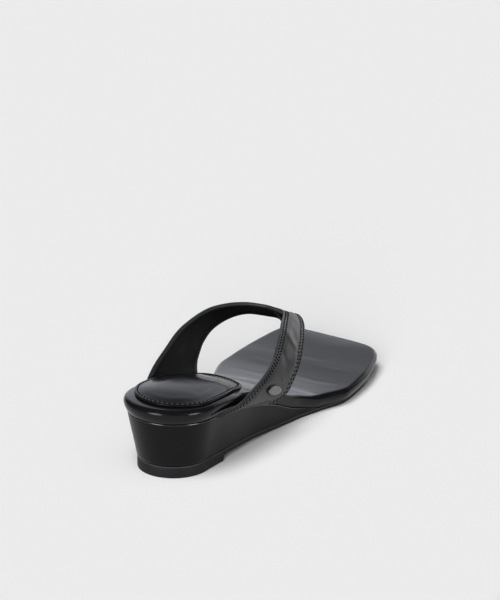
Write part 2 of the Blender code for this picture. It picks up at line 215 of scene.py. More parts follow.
def add_node(
    tree: bpy.types.NodeTree,
    kind: str,
    inputs: Inputs | None = None,
    settings: dict[str, object] | None = None,
) -> bpy.types.Node:
    """Adds a node with its settings and links.

    Args:
        tree: the tree that it goes into.
        kind: its type name.
        inputs: its input sockets, each with a value or the socket to link from.
        settings: its attributes and their values.

    Returns:
        The new node.
    """
    node = tree.nodes.new(kind)
    for name, value in (settings or {}).items():
        setattr(node, name, value)
    set_inputs(node, inputs or {})
    return node


def smooth_step(share: Numbers) -> Numbers:
    """Eases a share from 0 to 1, flat at both ends."""
    share = np.clip(share, 0.0, 1.0)
    return share * share * (3 - 2 * share)


def unit(vectors: Numbers) -> Numbers:
    """Scales vectors to length 1."""
    return vectors / np.linalg.norm(vectors, axis=-1, keepdims=True)


def evenly_apart(places: Numbers, line: Numbers, step: float) -> Numbers:
    """Picks places whose points on a line are evenly apart.

    Args:
        places: fine steps of the measure that the line is drawn by.
        line: its point at each of them.
        step: about how far apart the points are to be.

    Returns:
        The places, from the first to the last.
    """
    run = np.concatenate(([0.0], np.cumsum(np.linalg.norm(np.diff(line, axis=0), axis=1))))
    return np.interp(np.linspace(0.0, run[-1], round(run[-1] / step) + 1), run, places)


class SmoothColumn:
    """Cubic through the values of one column of a table."""

    def __init__(self, knots: Sequence[float], values: Sequence[float], overshoots: bool = False) -> None:
        """Works out the slopes.

        Args:
            knots: where the values stand.
            values: the column's values.
            overshoots: whether the curve may swing past a value, as a free curve does.
        """
        self.knots = np.asarray(knots, float)
        self.values = np.asarray(values, float)
        chords = np.diff(self.values) / np.diff(self.knots)
        before, after = chords[:-1], chords[1:]
        same_way = before * after > 0
        harmonic = 2 * before * after / np.where(same_way, before + after, 1.0)
        middle = (before + after) / 2 if overshoots else np.where(same_way, harmonic, 0.0)
        self.slopes = np.concatenate(([chords[0]], middle, [chords[-1]]))

    def __call__(self, at: Numbers) -> Numbers:
        """Reads the curve.

        Args:
            at: the places to read it at.

        Returns:
            Its values there.
        """
        at = np.asarray(at, float)
        i = np.clip(np.searchsorted(self.knots, at, side="right") - 1, 0, len(self.knots) - 2)
        span = self.knots[i + 1] - self.knots[i]
        t = (at - self.knots[i]) / span
        rise = self.values[i + 1] - self.values[i]
        start = self.slopes[i] * span - rise
        end = rise - self.slopes[i + 1] * span
        return self.values[i] + rise * t + t * (1 - t) * (start * (1 - t) + end * t)


# The last: the forms that the pieces share


class Last:
    """Heights and half widths along the sole, read smoothly from its table."""

    def __init__(self) -> None:
        """Makes one smooth curve for each column."""
        knots = [row.y for row in SOLE]
        names = SoleRow._fields[1:]
        self.columns = {name: SmoothColumn(knots, [getattr(row, name) for row in SOLE]) for name in names}

    def at(self, y: Numbers, column: str) -> Numbers:
        """Values of a column at stations along the shoe."""
        return self.columns[column](np.clip(y, 0.0, LENGTH))

    def outsole_top(self, y: Numbers) -> Numbers:
        """Height of the outsole's upper face."""
        return self.at(y, "floor") + self.at(y, "outsole")

    def outsole_under(self, y: Numbers) -> Numbers:
        """Height of the tread: the heel lift is on the floor, then the waist arches clear."""
        return np.where(y <= HEEL_LIFT_FRONT, 0.0, self.at(y, "floor"))

    def footbed_under(self, y: Numbers) -> Numbers:
        """Height of the footbed's underside."""
        return self.outsole_top(y) + self.at(y, "wedge") + GAP

    def footbed_top(self, y: Numbers) -> Numbers:
        """Height of the footbed's upper face along its shoulder."""
        return self.footbed_under(y) + self.at(y, "footbed")

    def wall_inset(self, y: Numbers, height: Numbers) -> Numbers:
        """How far the wedge's leaning wall lies inside the footbed's outline at a height."""
        below = np.maximum(0.0, self.footbed_under(y) - height)
        return WEDGE_OVERHANG + self.at(y, "taper") * below

    def half_width(self, y: Numbers, side: Numbers) -> Numbers:
        """Half width of the footbed on the side that the sign of `side` names."""
        return np.where(side > 0, self.at(y, "outer"), self.at(y, "inner"))


def toe_slant(y: Numbers) -> Numbers:
    """How far a line across the shoe runs back for each unit towards the outer side."""
    return TOE_SLANT * smooth_step((y - SLANT_FROM) / (LENGTH - SLANT_FROM))


def pad_slant(y: Numbers) -> Numbers:
    """The same slant for the heel pad's front."""
    return PAD_SLANT * y / PAD_FRONT


@dataclass(frozen=True)
class Outline:
    """Plan outline inside the footbed's half widths, round at the back and squared off in front."""

    last: Last
    back: float
    front: float
    margin: float
    back_depth: float
    front_depth: float
    squareness: float
    slant: Callable[[Numbers], Numbers]
    outer_taper: float = 0.0
    front_lean: float = 0.9  # share of its move by which a slanted front draws in
    corner_share: float = 0.5  # share of an inset by which the front's corners get less deep

    def points(self, y: Numbers, side: Numbers) -> Numbers:
        """Points of the outline.

        Args:
            y: stations along the shoe.
            side: the side of each, as the sign of x.

        Returns:
            One row of x and y for each.
        """
        late = np.maximum(0.0, y - TAPER_FROM) / (self.front - TAPER_FROM)
        taper = np.where(side > 0, self.outer_taper * late**2, 0.0)
        width = self.last.half_width(y, side) - self.margin - taper
        before = np.maximum(0.0, (self.back + self.back_depth - y) / self.back_depth)
        beyond = np.maximum(0.0, (y - self.front + self.front_depth) / self.front_depth)
        round_back = np.sqrt(np.maximum(0.0, 1 - before**2))
        square_front = np.maximum(0.0, 1 - beyond**self.squareness) ** (1 / self.squareness)
        x = width * round_back * square_front * side
        return np.stack((x, y - self.slant(y) * x), axis=-1)

    def shrunk(self, inset: float) -> Outline:
        """The outline drawn in by a distance all round, with its corners kept open."""
        return replace(
            self,
            back=self.back + inset,
            front=self.front - inset / self.front_lean,
            margin=self.margin + inset,
            back_depth=self.back_depth - inset,
            front_depth=self.front_depth - inset * self.corner_share,
        )

    def inside(self, y: Numbers) -> Numbers:
        """Stations kept clear of the round back and the squared front."""
        return np.clip(y, self.back + self.back_depth, self.front - self.front_depth)

    def stations(self, step: float, end: float | None = None, extra: Sequence[float] = ()) -> Numbers:
        """Stations from the back to the front, evenly apart along the outer side.

        Args:
            step: distance between stations along the outline.
            end: last station, where the piece stops short of the front.
            extra: further stations.

        Returns:
            The stations in order.
        """
        turn = np.linspace(0.0, math.pi / 2, TURN_POINTS)
        rear = self.back + self.back_depth * (1 - np.cos(turn))
        straight = np.linspace(self.back + self.back_depth, self.front - self.front_depth, RUN_POINTS)
        fore = self.front - self.front_depth + self.front_depth * np.sin(turn) ** (2 / self.squareness)
        fine = np.unique(np.concatenate((rear, straight, fore)))
        found = evenly_apart(fine, self.points(fine, np.ones_like(fine)), step)
        if end is not None:
            found = np.append(found[found < end - step / 2], end)
        return np.unique(np.concatenate((found, extra)))

    def loop(self, stations: Numbers) -> tuple[Numbers, Numbers]:
        """Goes once round the outline, up the outer side and back down the inner one.

        Args:
            stations: the stations to stop at.

        Returns:
            The station and the side of each stop.
        """
        inner = stations[1:-1] if stations[-1] >= self.front else stations[1:]
        y = np.concatenate((stations, inner[::-1]))
        side = np.concatenate((np.ones(len(stations)), -np.ones(len(inner))))
        return y, side

    def ring(self, stations: Numbers, inset: Numbers | float, drawn_in: float = 0.0) -> Numbers:
        """Closed loop of plan points inside the outline.

        Args:
            stations: the stations to place points at.
            inset: how far inside the outline the loop runs, in all or for each point.
            drawn_in: share of the way from there to the middle line.

        Returns:
            One row of x and y for each point.
        """
        y, side = self.loop(stations)
        base = self.points(y, side)
        before, after = np.roll(base, 1, axis=0), np.roll(base, -1, axis=0)
        if stations[-1] < self.front:
            last = len(stations) - 1
            after[last], before[last + 1] = base[last], base[last + 1]
        along = after - before
        outward = unit(np.stack((along[:, 1], -along[:, 0]), axis=-1))
        spots = base - outward * np.reshape(inset, (-1, 1))
        spine = np.stack((np.zeros_like(y), self.inside(y)), axis=-1)
        return spots + (spine - spots) * drawn_in

    def edge_share(self, spots: Numbers) -> Numbers:
        """How far out plan points lie.

        Args:
            spots: rows of x and y.

        Returns:
            A share for each, from 0 on the middle line to 1 on the outline.
        """
        x, y = spots[..., 0], spots[..., 1] + self.slant(spots[..., 1]) * spots[..., 0]
        inside = self.inside(y)
        across = np.abs(x) / (self.last.half_width(inside, x) - self.margin)
        behind = np.maximum(0.0, (inside - y) / self.back_depth)
        ahead = np.maximum(0.0, (y - inside) / self.front_depth)
        power = np.where(ahead > 0, self.squareness, 2.0)
        return (across**power + behind**power + ahead**power) ** (1 / power)


class Shoe:
    """The last with the outlines cut from it, and the way from the shoemaker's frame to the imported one."""

    def __init__(self) -> None:
        """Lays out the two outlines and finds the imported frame's place."""
        self.last = Last()
        self.sole = Outline(self.last, 0.0, LENGTH, 0.0, HEEL_RADIUS, TOE_DEPTH, TOE_SQUARENESS, toe_slant)
        self.pad = Outline(
            self.last, PAD_BACK, PAD_FRONT, PAD_MARGIN, PAD_BACK_DEPTH, PAD_FRONT_DEPTH, PAD_SQUARENESS,
            pad_slant, PAD_TAPER,
        )
        rim = self.sole.ring(self.sole.stations(RIM_STEP), 0.0)
        back_of_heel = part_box("footbed")[0].y / MM
        middle = (rim[:, 0].max() + rim[:, 0].min()) / 2
        self.place = np.array((-middle, back_of_heel, 0.0))

    def crown(self, spots: Numbers) -> Numbers:
        """Rise of the padded footbed over its shoulder."""
        share = np.minimum(self.sole.edge_share(spots) / CROWN_EDGE, 1.0)
        return self.last.at(spots[..., 1], "crown") * (1 - share**2)

    def tread(self, spots: Numbers) -> Numbers:
        """Height of the footbed's upper face over plan points."""
        return self.last.footbed_top(spots[..., 1]) + self.crown(spots)

    def packed(self, points: Numbers) -> Numbers:
        """Moves points from the shoemaker's frame, in millimetres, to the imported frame, in metres."""
        return (points + self.place) * MM


def with_height(spots: Numbers, height: Numbers | float) -> Numbers:
    """Adds a height to plan points."""
    return np.column_stack((spots, np.broadcast_to(height, len(spots))))


def quarter_round(radius: float, steps: int) -> list[tuple[float, float]]:
    """Quarter-round edge as pairs of inset and drop, from the wall to the face."""
    angles = np.linspace(0.0, math.pi / 2, steps + 1)
    return [(radius * (1 - math.cos(a)), radius * (1 - math.sin(a))) for a in angles]


@dataclass(frozen=True)
class Crease:
    """Soft trough or ridge in the leather, given one by one. Its sizes are in millimetres."""

    path: tuple[tuple[float, float], ...]  # places along it, in the surface's own two measures
    width: float  # from its middle to where it has nearly run out
    height: float  # its rise, or below zero its depth
    fade_power: float = 0.7  # how soon it fades towards its ends
    falloff: float = 1.6  # how steeply it falls off sideways

    def lift(self, points: Numbers, track: Numbers) -> Numbers:
        """Lift that the crease gives to points.

        Args:
            points: places on the surface, one row each.
            track: points along the crease, in the same space.

        Returns:
            The lift of each point, fading out at the crease's ends.
        """
        nearest = np.full(len(points), np.inf)
        where = np.zeros(len(points))
        spans = len(track) - 1
        for i in range(spans):
            start, run = track[i], track[i + 1] - track[i]
            share = np.clip((points - start) @ run / (run @ run), 0.0, 1.0)
            far = np.linalg.norm(points - start - share[:, None] * run, axis=1)
            closer = far < nearest
            nearest = np.where(closer, far, nearest)
            where = np.where(closer, (i + share) / spans, where)
        fade = (4 * where * (1 - where)) ** self.fade_power
        return self.height * fade * np.exp(-((self.falloff * nearest / self.width) ** 2))


def plan_lift(spots: Numbers, creases: Sequence[Crease]) -> Numbers:
    """Lift that creases placed by x and y give to plan points."""
    return sum(crease.lift(spots, np.array(crease.path)) for crease in creases)


# Meshes


def closed_loft(name: str, rings: Sequence[Numbers], shoe: Shoe) -> bpy.types.Mesh:
    """Closed solid through loops of equal length, each end closed by rungs across the loop.

    Args:
        name: the mesh's name.
        rings: loops of points in the shoemaker's frame, so that each side face points out.
        shoe: the shoe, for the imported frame.

    Returns:
        The mesh, shaded smooth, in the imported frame.
    """
    count = len(rings[0])
    first = np.arange(count)
    following = np.roll(first, -1)
    faces: list[tuple[int, ...]] = []
    for level in range(len(rings) - 1):
        low, high = level * count, (level + 1) * count
        quads = np.stack((first + low, following + low, following + high, first + high), axis=-1)
        faces += [tuple(quad) for quad in quads.tolist()]
    for start, turn in ((0, -1), ((len(rings) - 1) * count, 1)):
        for i in range(count // 2):
            corners = (i, i + 1, count - i - 1, (count - i) % count)
            faces.append(tuple(start + c for c in dict.fromkeys(corners))[::turn])
    mesh = bpy.data.meshes.new(name)
    mesh.from_pydata(shoe.packed(np.concatenate(rings)).tolist(), [], faces)
    mesh.update()
    mesh.shade_smooth()
    return mesh


def dress_levels(mesh: bpy.types.Mesh, count: int, levels: range) -> None:
    """Gives the side faces between some of a loft's loops to its second material.

    Args:
        mesh: the loft's mesh.
        count: points round each loop.
        levels: which side faces, counted up from the first loop.
    """
    for face in mesh.polygons[levels.start * count : levels.stop * count]:
        face.material_index = 1


def place_piece(
    name: str,
    mesh: bpy.types.Mesh,
    materials: Sequence[bpy.types.Material],
    node: str | None = None,
) -> bpy.types.Object:
    """Adds a finished mesh to the scene as a piece that rides on the shoe.

    Args:
        name: the piece's name.
        mesh: its mesh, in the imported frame.
        materials: its materials, in the order that the mesh's faces number them.
        node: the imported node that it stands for, if any.

    Returns:
        The piece.
    """
    piece = bpy.data.objects.new(name, mesh)
    bpy.context.scene.collection.objects.link(piece)
    for material in materials:
        mesh.materials.append(material)
    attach(piece, BODY)
    if node is not None:
        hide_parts(node)
    LOG.info("%s: %d faces", name, len(mesh.polygons))
    return piece


# Finishes

LEATHER_IOR = 1.5
RUBBER_IOR = 1.52
RUBBER_SWING = 0.08  # how far its roughness varies, up and down
CLOUD_WIDTH = 22.0  # millimetres
CLOUD_SPAN = (0.3, 0.7)  # where most of the clouds' values lie
POLISH_SWING = (0.85, 1.15)  # least and most of a leather's roughness
RANGE = ("Value", "From Min", "From Max", "To Min", "To Max")  # inputs of a Map Range node
# A Mix node's colour sockets go by number, because its other sockets bear the same names
MIX_FIRST, MIX_SECOND, MIX_RESULT = 6, 7, 2


def blank_material(name: str) -> tuple[bpy.types.Material, bpy.types.NodeTree, bpy.types.Node]:
    """Makes a material that is still plain.

    Args:
        name: its name.

    Returns:
        The material, its tree and its shader.
    """
    material = bpy.data.materials.new(name)
    material.use_nodes = True
    return material, material.node_tree, material.node_tree.nodes["Principled BSDF"]


@dataclass(frozen=True)
class Leather:
    """Finished leather, from soft calf to glazed and burnished. Its sizes are in millimetres."""

    name: str
    deep: str  # sRGB hex colour of most of the hide
    pale: str  # sRGB hex colour of its lighter clouds
    roughness: float  # how matt the finish is
    mirror: float  # how strongly it mirrors face on, 0.5 for a plain clear finish
    grain: float  # width of a cell of the grain
    grain_depth: float
    pull: tuple[float, float, float]  # size of the fine wrinkles across, along and up the shoe
    pull_depth: float  # depth of those wrinkles

    def material(self) -> bpy.types.Material:
        """Makes the leather's material.

        Returns:
            The material.
        """
        material, tree, shader = blank_material(self.name)
        place = add_node(tree, "ShaderNodeTexCoord").outputs["Object"]
        # The dye lies unevenly, in clouds about as wide as a thumb
        cloudy = {"Vector": place, "Scale": 1 / (CLOUD_WIDTH * MM), "Detail": 3.0, "Roughness": 0.55}
        clouds = add_node(tree, "ShaderNodeTexNoise", cloudy).outputs["Fac"]
        dyes = {"Factor": clouds, MIX_FIRST: linear(self.deep), MIX_SECOND: linear(self.pale)}
        dye = add_node(tree, "ShaderNodeMix", dyes, {"data_type": "RGBA"})
        # Handling leaves some patches shinier than others
        low, high = (self.roughness * share for share in POLISH_SWING)
        handled = (clouds, *CLOUD_SPAN, low, high)
        polish = add_node(tree, "ShaderNodeMapRange", dict(zip(RANGE, handled)))
        # Grain cells, drawn a little coarser than the hide's own so that they show
        celled = {"Vector": place, "Scale": 1 / (self.grain * MM), "Smoothness": 0.6}
        cells = add_node(tree, "ShaderNodeTexVoronoi", celled, {"feature": "SMOOTH_F1"}).outputs["Distance"]
        grained = {"Height": cells, "Strength": 0.6, "Distance": self.grain_depth * MM}
        grain = add_node(tree, "ShaderNodeBump", grained).outputs["Normal"]
        # Fine wrinkles where the hide was pulled over the form
        scale = tuple(1 / (size * MM) for size in self.pull)
        stretch = add_node(tree, "ShaderNodeMapping", {"Vector": place, "Scale": scale}).outputs["Vector"]
        wrinkled = {"Vector": stretch, "Scale": 1.0, "Detail": 4.0, "Roughness": 0.5}
        wrinkles = add_node(tree, "ShaderNodeTexNoise", wrinkled).outputs["Fac"]
        pulled = add_node(
            tree,
            "ShaderNodeBump",
            {"Height": wrinkles, "Normal": grain, "Strength": 1.0, "Distance": self.pull_depth * MM},
        )
        look = {
            "Base Color": dye.outputs[MIX_RESULT],
            "Roughness": polish.outputs["Result"],
            "Normal": pulled.outputs["Normal"],
            "IOR": LEATHER_IOR,
            "Specular IOR Level": self.mirror,
        }
        set_inputs(shader, look)
        return material


# Soft calf with a satin finish: a grey sheen on its folds, nearly black where it turns from the light
STRAP_CALF = Leather(
    "satin_calf_leather", "1d1d1f", "252527", 0.45, 0.5, 0.9, 0.05, (7.0, 14.0, 14.0), 0.06
)
# Glazed sheepskin pulled over foam: smooth, with a clear mirror of pale surroundings at low angles
FOOTBED_SKIN = Leather(
    "glazed_sheepskin", "0f0f11", "151517", 0.18, 0.17, 0.8, 0.015, (15.0, 5.0, 20.0), 0.06
)
# The same skin on the heel pad, a little less tight: its mirror is softer and more broken
PAD_SKIN = Leather(
    "padded_sheepskin", "111113", "171719", 0.22, 0.09, 0.8, 0.02, (16.0, 9.0, 20.0), 0.14
)
# Thin smooth side leather glued flat on the wedge: even, with a low gloss
WEDGE_SIDE = Leather(
    "smooth_side_leather", "0b0b0c", "101011", 0.32, 0.12, 1.0, 0.02, (9.0, 9.0, 9.0), 0.04
)
# The side leather's folded top edge, burnished: a thin broken line of light under the footbed
WEDGE_EDGE = Leather(
    "burnished_edge_leather", "121213", "171719", 0.16, 0.9, 1.0, 0.02, (6.0, 6.0, 6.0), 0.3
)
# Split lining leather, unglazed: it swallows light
LINING_SPLIT = Leather(
    "split_lining_leather", "060607", "0a0a0b", 0.6, 0.22, 0.7, 0.05, (6.0, 6.0, 22.0), 0.14
)


class Relief(Enum):
    """Kinds of fine relief: a texture node, its inputs and its settings."""

    BLASTED = ("ShaderNodeTexNoise", {"Detail": 2.0}, {})
    TWISTED = ("ShaderNodeTexWave", {"Distortion": 1.0}, {"bands_direction": "DIAGONAL"})
    TUMBLED = ("ShaderNodeTexNoise", {"Detail": 4.0, "Roughness": 0.65}, {})


@dataclass(frozen=True)
class PlainFinish:
    """Finish of one colour under a fine relief: moulded rubber, twisted thread or plated metal.

    Its sizes are in millimetres, and the relief is drawn coarser than life so that it shows.
    """

    name: str
    colour: str  # sRGB hex colour
    roughness: float  # how matt it is
    mirror: float  # how strongly it mirrors face on, 0.5 for a plain clear finish
    relief: Relief
    size: float  # width of the relief's marks
    depth: float  # depth of the relief
    strength: float  # share of that depth that shows
    swing: float = 0.0  # how far its roughness varies with the relief, up and down
    ior: float | None = None  # None for the shader's own
    metallic: float = 0.0

    def material(self) -> bpy.types.Material:
        """Makes the finish's material.

        Returns:
            The material.
        """
        material, tree, shader = blank_material(self.name)
        place = add_node(tree, "ShaderNodeTexCoord").outputs["Object"]
        kind, inputs, settings = self.relief.value
        inputs = {"Vector": place, "Scale": 1 / (self.size * MM), **inputs}
        marks = add_node(tree, kind, inputs, settings).outputs["Fac"]
        raised = {"Height": marks, "Strength": self.strength, "Distance": self.depth * MM}
        look = {
            "Base Color": linear(self.colour),
            "Metallic": self.metallic,
            "Roughness": self.roughness,
            "Normal": add_node(tree, "ShaderNodeBump", raised).outputs["Normal"],
            "Specular IOR Level": self.mirror,
        }
        if self.swing:
            worn = (marks, 0.0, 1.0, self.roughness - self.swing, self.roughness + self.swing)
            wear = add_node(tree, "ShaderNodeMapRange", dict(zip(RANGE, worn)))
            look["Roughness"] = wear.outputs["Result"]
        if self.ior is not None:
            look["IOR"] = self.ior
        set_inputs(shader, look)
        return material


# Moulded sole rubber: charcoal rather than black, no clear reflections
SOLE_RUBBER = PlainFinish(
    "moulded_sole_rubber", "121214", 0.58, 0.2, Relief.BLASTED, 0.8, 0.05, 0.7, RUBBER_SWING, RUBBER_IOR
)
# Its upper edge, painted a lighter grey as a painted highlight: a thin light line where the lift meets the
# wedge
RUBBER_EDGE_PAINTED_HIGHLIGHT = replace(
    SOLE_RUBBER, name="rubber_edge_painted_highlight", colour="424244", roughness=0.8, size=1.2, depth=0.08
)
# Black waxed thread: darker and more matt than the calf, so that each stitch reads as a small dark bead.
# The wave that twists it has about six bands in its size, so the plies lie 0.35 mm apart.
WAXED_THREAD = PlainFinish("waxed_polyester_thread", "050506", 0.7, 0.15, Relief.TWISTED, 2.1, 0.08, 0.5)
# Polished nickel: a warm grey mirror, softened by tumbling
STUD_NICKEL = PlainFinish(
    "polished_nickel", "706f6d", 0.26, 0.5, Relief.TUMBLED, 1.6, 0.06, 0.4, metallic=1.0
)


# Stitching


@dataclass(frozen=True)
class StitchSize:
    """Sizes of one kind of stitch, in millimetres."""

    pitch: float  # distance from one stitch to the next
    length: float  # length of the thread that shows
    width: float  # width of the thread, drawn a little coarser than life so that it shows
    height: float  # how far it stands over its bed and sinks into it, in all
    slant: float  # turn of each stitch from the line of its row, in degrees


EDGE_STITCH = StitchSize(pitch=3.3, length=1.7, width=1.5, height=0.8, slant=30.0)
LINING_STITCH = StitchSize(pitch=2.7, length=2.1, width=0.7, height=0.35, slant=8.0)
PAD_STITCH = StitchSize(pitch=3.2, length=1.8, width=1.1, height=0.8, slant=4.0)
SLANT_SEED = 7
RANDOM_NUMBER = 1  # the output of a Random Value node that gives plain numbers


class StitchRow(NamedTuple):
    """Path of one row of stitches."""

    points: Numbers
    out: Numbers  # the way out of the leather at each point
    is_loop: bool


class Stitcher:
    """Lays stitches along paths with one Geometry Nodes tree."""

    def __init__(self, thread: bpy.types.Material) -> None:
        """Builds the tree.

        Args:
            thread: the thread's material.
        """
        self.thread = thread
        self.lengths = ("Pitch", "Length", "Width", "Height")
        self.tree = bpy.data.node_groups.new("thread_stitches", "GeometryNodeTree")
        numbers = dict.fromkeys((*self.lengths, "Slant"), "Float")
        for name, kind in {"Paths": "Geometry", **numbers, "Thread": "Material"}.items():
            self.tree.interface.new_socket(name, in_out="INPUT", socket_type="NodeSocket" + kind)
        self.tree.interface.new_socket("Stitches", in_out="OUTPUT", socket_type="NodeSocketGeometry")
        self.build()

    def build(self) -> None:
        """Adds the nodes: points along the paths, one stitch on each, turned to its row."""
        tree = self.tree
        given = add_node(tree, "NodeGroupInput").outputs
        curves = add_node(tree, "GeometryNodeMeshToCurve", {"Mesh": given["Paths"]}).outputs["Curve"]
        spaced = {"Curve": curves, "Length": given["Pitch"]}
        points = add_node(tree, "GeometryNodeCurveToPoints", spaced, {"mode": "LENGTH"}).outputs
        bed = add_node(
            tree, "GeometryNodeInputNamedAttribute", {"Name": "bed_normal"}, {"data_type": "FLOAT_VECTOR"}
        ).outputs["Attribute"]
        # Each stitch lies along its row, stands off its bed and is turned by the row's slant
        align = "FunctionNodeAlignRotationToVector"
        along = add_node(tree, align, {"Vector": points["Tangent"]}, {"axis": "X"}).outputs["Rotation"]
        bedded = {"Rotation": along, "Vector": bed}
        upright = add_node(tree, align, bedded, {"axis": "Z", "pivot_axis": "X"}).outputs["Rotation"]
        # No two stitches are pulled quite alike
        swing = {"Min": 0.7, "Max": 1.3, "Seed": SLANT_SEED}
        unlike = add_node(tree, "FunctionNodeRandomValue", swing, {"data_type": "FLOAT"})
        slanted = {0: given["Slant"], 1: unlike.outputs[RANDOM_NUMBER]}
        angle = add_node(tree, "ShaderNodeMath", slanted, {"operation": "MULTIPLY"}).outputs["Value"]
        turn = add_node(tree, "ShaderNodeCombineXYZ", {"Z": angle}).outputs["Vector"]
        turned = add_node(
            tree,
            "FunctionNodeRotateRotation",
            {"Rotation": upright, "Rotate By": turn},
            {"rotation_space": "LOCAL"},
        ).outputs["Rotation"]
        round_form = {"Segments": 8, "Rings": 5, "Radius": 0.5}
        ball = add_node(tree, "GeometryNodeMeshUVSphere", round_form).outputs["Mesh"]
        sizes = {"X": given["Length"], "Y": given["Width"], "Z": given["Height"]}
        size = add_node(tree, "ShaderNodeCombineXYZ", sizes).outputs["Vector"]
        sized = {"Geometry": ball, "Scale": size}
        stitch = add_node(tree, "GeometryNodeTransform", sized).outputs["Geometry"]
        placed = {"Points": points["Points"], "Instance": stitch, "Rotation": turned}
        laid = add_node(tree, "GeometryNodeInstanceOnPoints", placed).outputs["Instances"]
        real = add_node(tree, "GeometryNodeRealizeInstances", {"Geometry": laid}).outputs["Geometry"]
        smooth = add_node(tree, "GeometryNodeSetShadeSmooth", {"Geometry": real}).outputs["Geometry"]
        finish = {"Geometry": smooth, "Material": given["Thread"]}
        dressed = add_node(tree, "GeometryNodeSetMaterial", finish).outputs["Geometry"]
        add_node(tree, "NodeGroupOutput", {"Stitches": dressed})

    def sew(self, name: str, rows: Sequence[StitchRow], size: StitchSize, shoe: Shoe) -> bpy.types.Mesh:
        """Sews rows of stitches.

        Args:
            name: the mesh's name.
            rows: the rows' paths.
            size: the stitch's sizes.
            shoe: the shoe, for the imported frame.

        Returns:
            A plain mesh of all the stitches.
        """
        edges: list[tuple[int, int]] = []
        start = 0
        for row in rows:
            count = len(row.points)
            edges += [(start + i, start + i + 1) for i in range(count - 1)]
            if row.is_loop:
                edges.append((start + count - 1, start))
            start += count
        mesh = bpy.data.meshes.new(name + "_paths")
        mesh.from_pydata(shoe.packed(np.concatenate([row.points for row in rows])).tolist(), edges, [])
        bed = mesh.attributes.new("bed_normal", "FLOAT_VECTOR", "POINT")
        out = np.concatenate([row.out for row in rows])
        bed.data.foreach_set("vector", out.astype(np.float32).ravel())
        holder = bpy.data.objects.new(name + "_paths", mesh)
        bpy.context.scene.collection.objects.link(holder)
        modifier = holder.modifiers.new("stitches", "NODES")
        modifier.node_group = self.tree
        values = {length: getattr(size, length.lower()) * MM for length in self.lengths}
        values.update({"Slant": math.radians(size.slant), "Thread": self.thread})
        for item in self.tree.interface.items_tree:
            if item.in_out == "INPUT" and item.name in values:
                modifier[item.identifier] = values[item.name]
        evaluated = holder.evaluated_get(bpy.context.evaluated_depsgraph_get())
        sewn = bpy.data.meshes.new_from_object(evaluated)
        sewn.name = name
        holder.modifiers.clear()
        bpy.data.objects.remove(holder)
        return sewn


# Sub-assemblies, with their sizes in millimetres


@dataclass
class ShoePart:
    """A sub-assembly of the shoe."""

    shoe: Shoe


@dataclass
class Sole(ShoePart):
    """Outsole and wedge."""

    step: float = 1.6  # distance between stations
    rubber_edge: float = 0.5  # round of the outsole's edges
    rubber_steps: int = 3  # steps of that round
    cover_edge: float = 0.7  # round of the wedge cover's upper edge
    cover_share: float = 1 / 3  # most of the wall's height that it takes up
    cover_steps: int = 4  # steps of that round
    wall_levels: int = 14  # rings up the wedge's wall

    def outsole(self) -> bpy.types.Mesh:
        """Makes the rubber sheet, with the heel lift moulded on as a step and its edges slightly round.

        Returns:
            Its mesh, with the upper edge, painted lighter grey as a highlight, given to the second material.
        """
        last, outline = self.shoe.last, self.shoe.sole
        breast = (HEEL_LIFT_FRONT, HEEL_LIFT_FRONT + BREAST_SLOPE)
        stations = outline.stations(self.step, extra=breast)
        y, _ = outline.loop(stations)
        base = last.wall_inset(y, last.outsole_top(y)) + last.at(y, "tuck")
        corner = quarter_round(self.rubber_edge, self.rubber_steps)
        rings = []
        for inset, rise in reversed(corner):
            spots = outline.ring(stations, base + inset)
            rings.append(with_height(spots, last.outsole_under(spots[:, 1]) + rise))
        for inset, drop in corner:
            spots = outline.ring(stations, base + inset)
            rings.append(with_height(spots, last.outsole_top(spots[:, 1]) - drop))
        mesh = closed_loft("outsole_rubber", rings, self.shoe)
        # The upper edge's faces take the lighter grey of the painted highlight
        dress_levels(mesh, len(rings[0]), range(len(corner), len(rings) - 1))
        return mesh

    def wedge(self) -> bpy.types.Mesh:
        """Makes the leather-covered wedge, its wall leaning in towards the floor.

        Returns:
            Its mesh, with the folded top edge given to the second material.
        """
        last, outline = self.shoe.last, self.shoe.sole
        stations = outline.stations(self.step, end=WEDGE_END)
        y, _ = outline.loop(stations)
        low = last.outsole_top(y) + GAP
        high = last.footbed_under(y) - GAP
        edge = np.minimum(self.cover_edge, (high - low) * self.cover_share)
        rings = []
        for share in np.linspace(0.0, 1.0, self.wall_levels):
            rings.append(self.wall_ring(stations, low + (high - edge - low) * share, 0.0))
        for inset, drop in quarter_round(1.0, self.cover_steps)[1:]:
            rings.append(self.wall_ring(stations, high - edge * drop, edge * inset))
        mesh = closed_loft("wedge_cover", rings, self.shoe)
        dress_levels(mesh, len(rings[0]), range(self.wall_levels - 1, len(rings) - 1))
        return mesh

    def wall_ring(self, stations: Numbers, level: Numbers, tuck: Numbers | float) -> Numbers:
        """One loop round the wedge.

        Args:
            stations: the stations to place points at.
            level: its height at each point.
            tuck: how far it is tucked in at the rounded edge.

        Returns:
            The loop's points.
        """
        last, outline = self.shoe.last, self.shoe.sole
        y, _ = outline.loop(stations)
        spots = outline.ring(stations, last.wall_inset(y, level) + last.at(y, "tuck") + tuck)
        return with_height(spots, level)


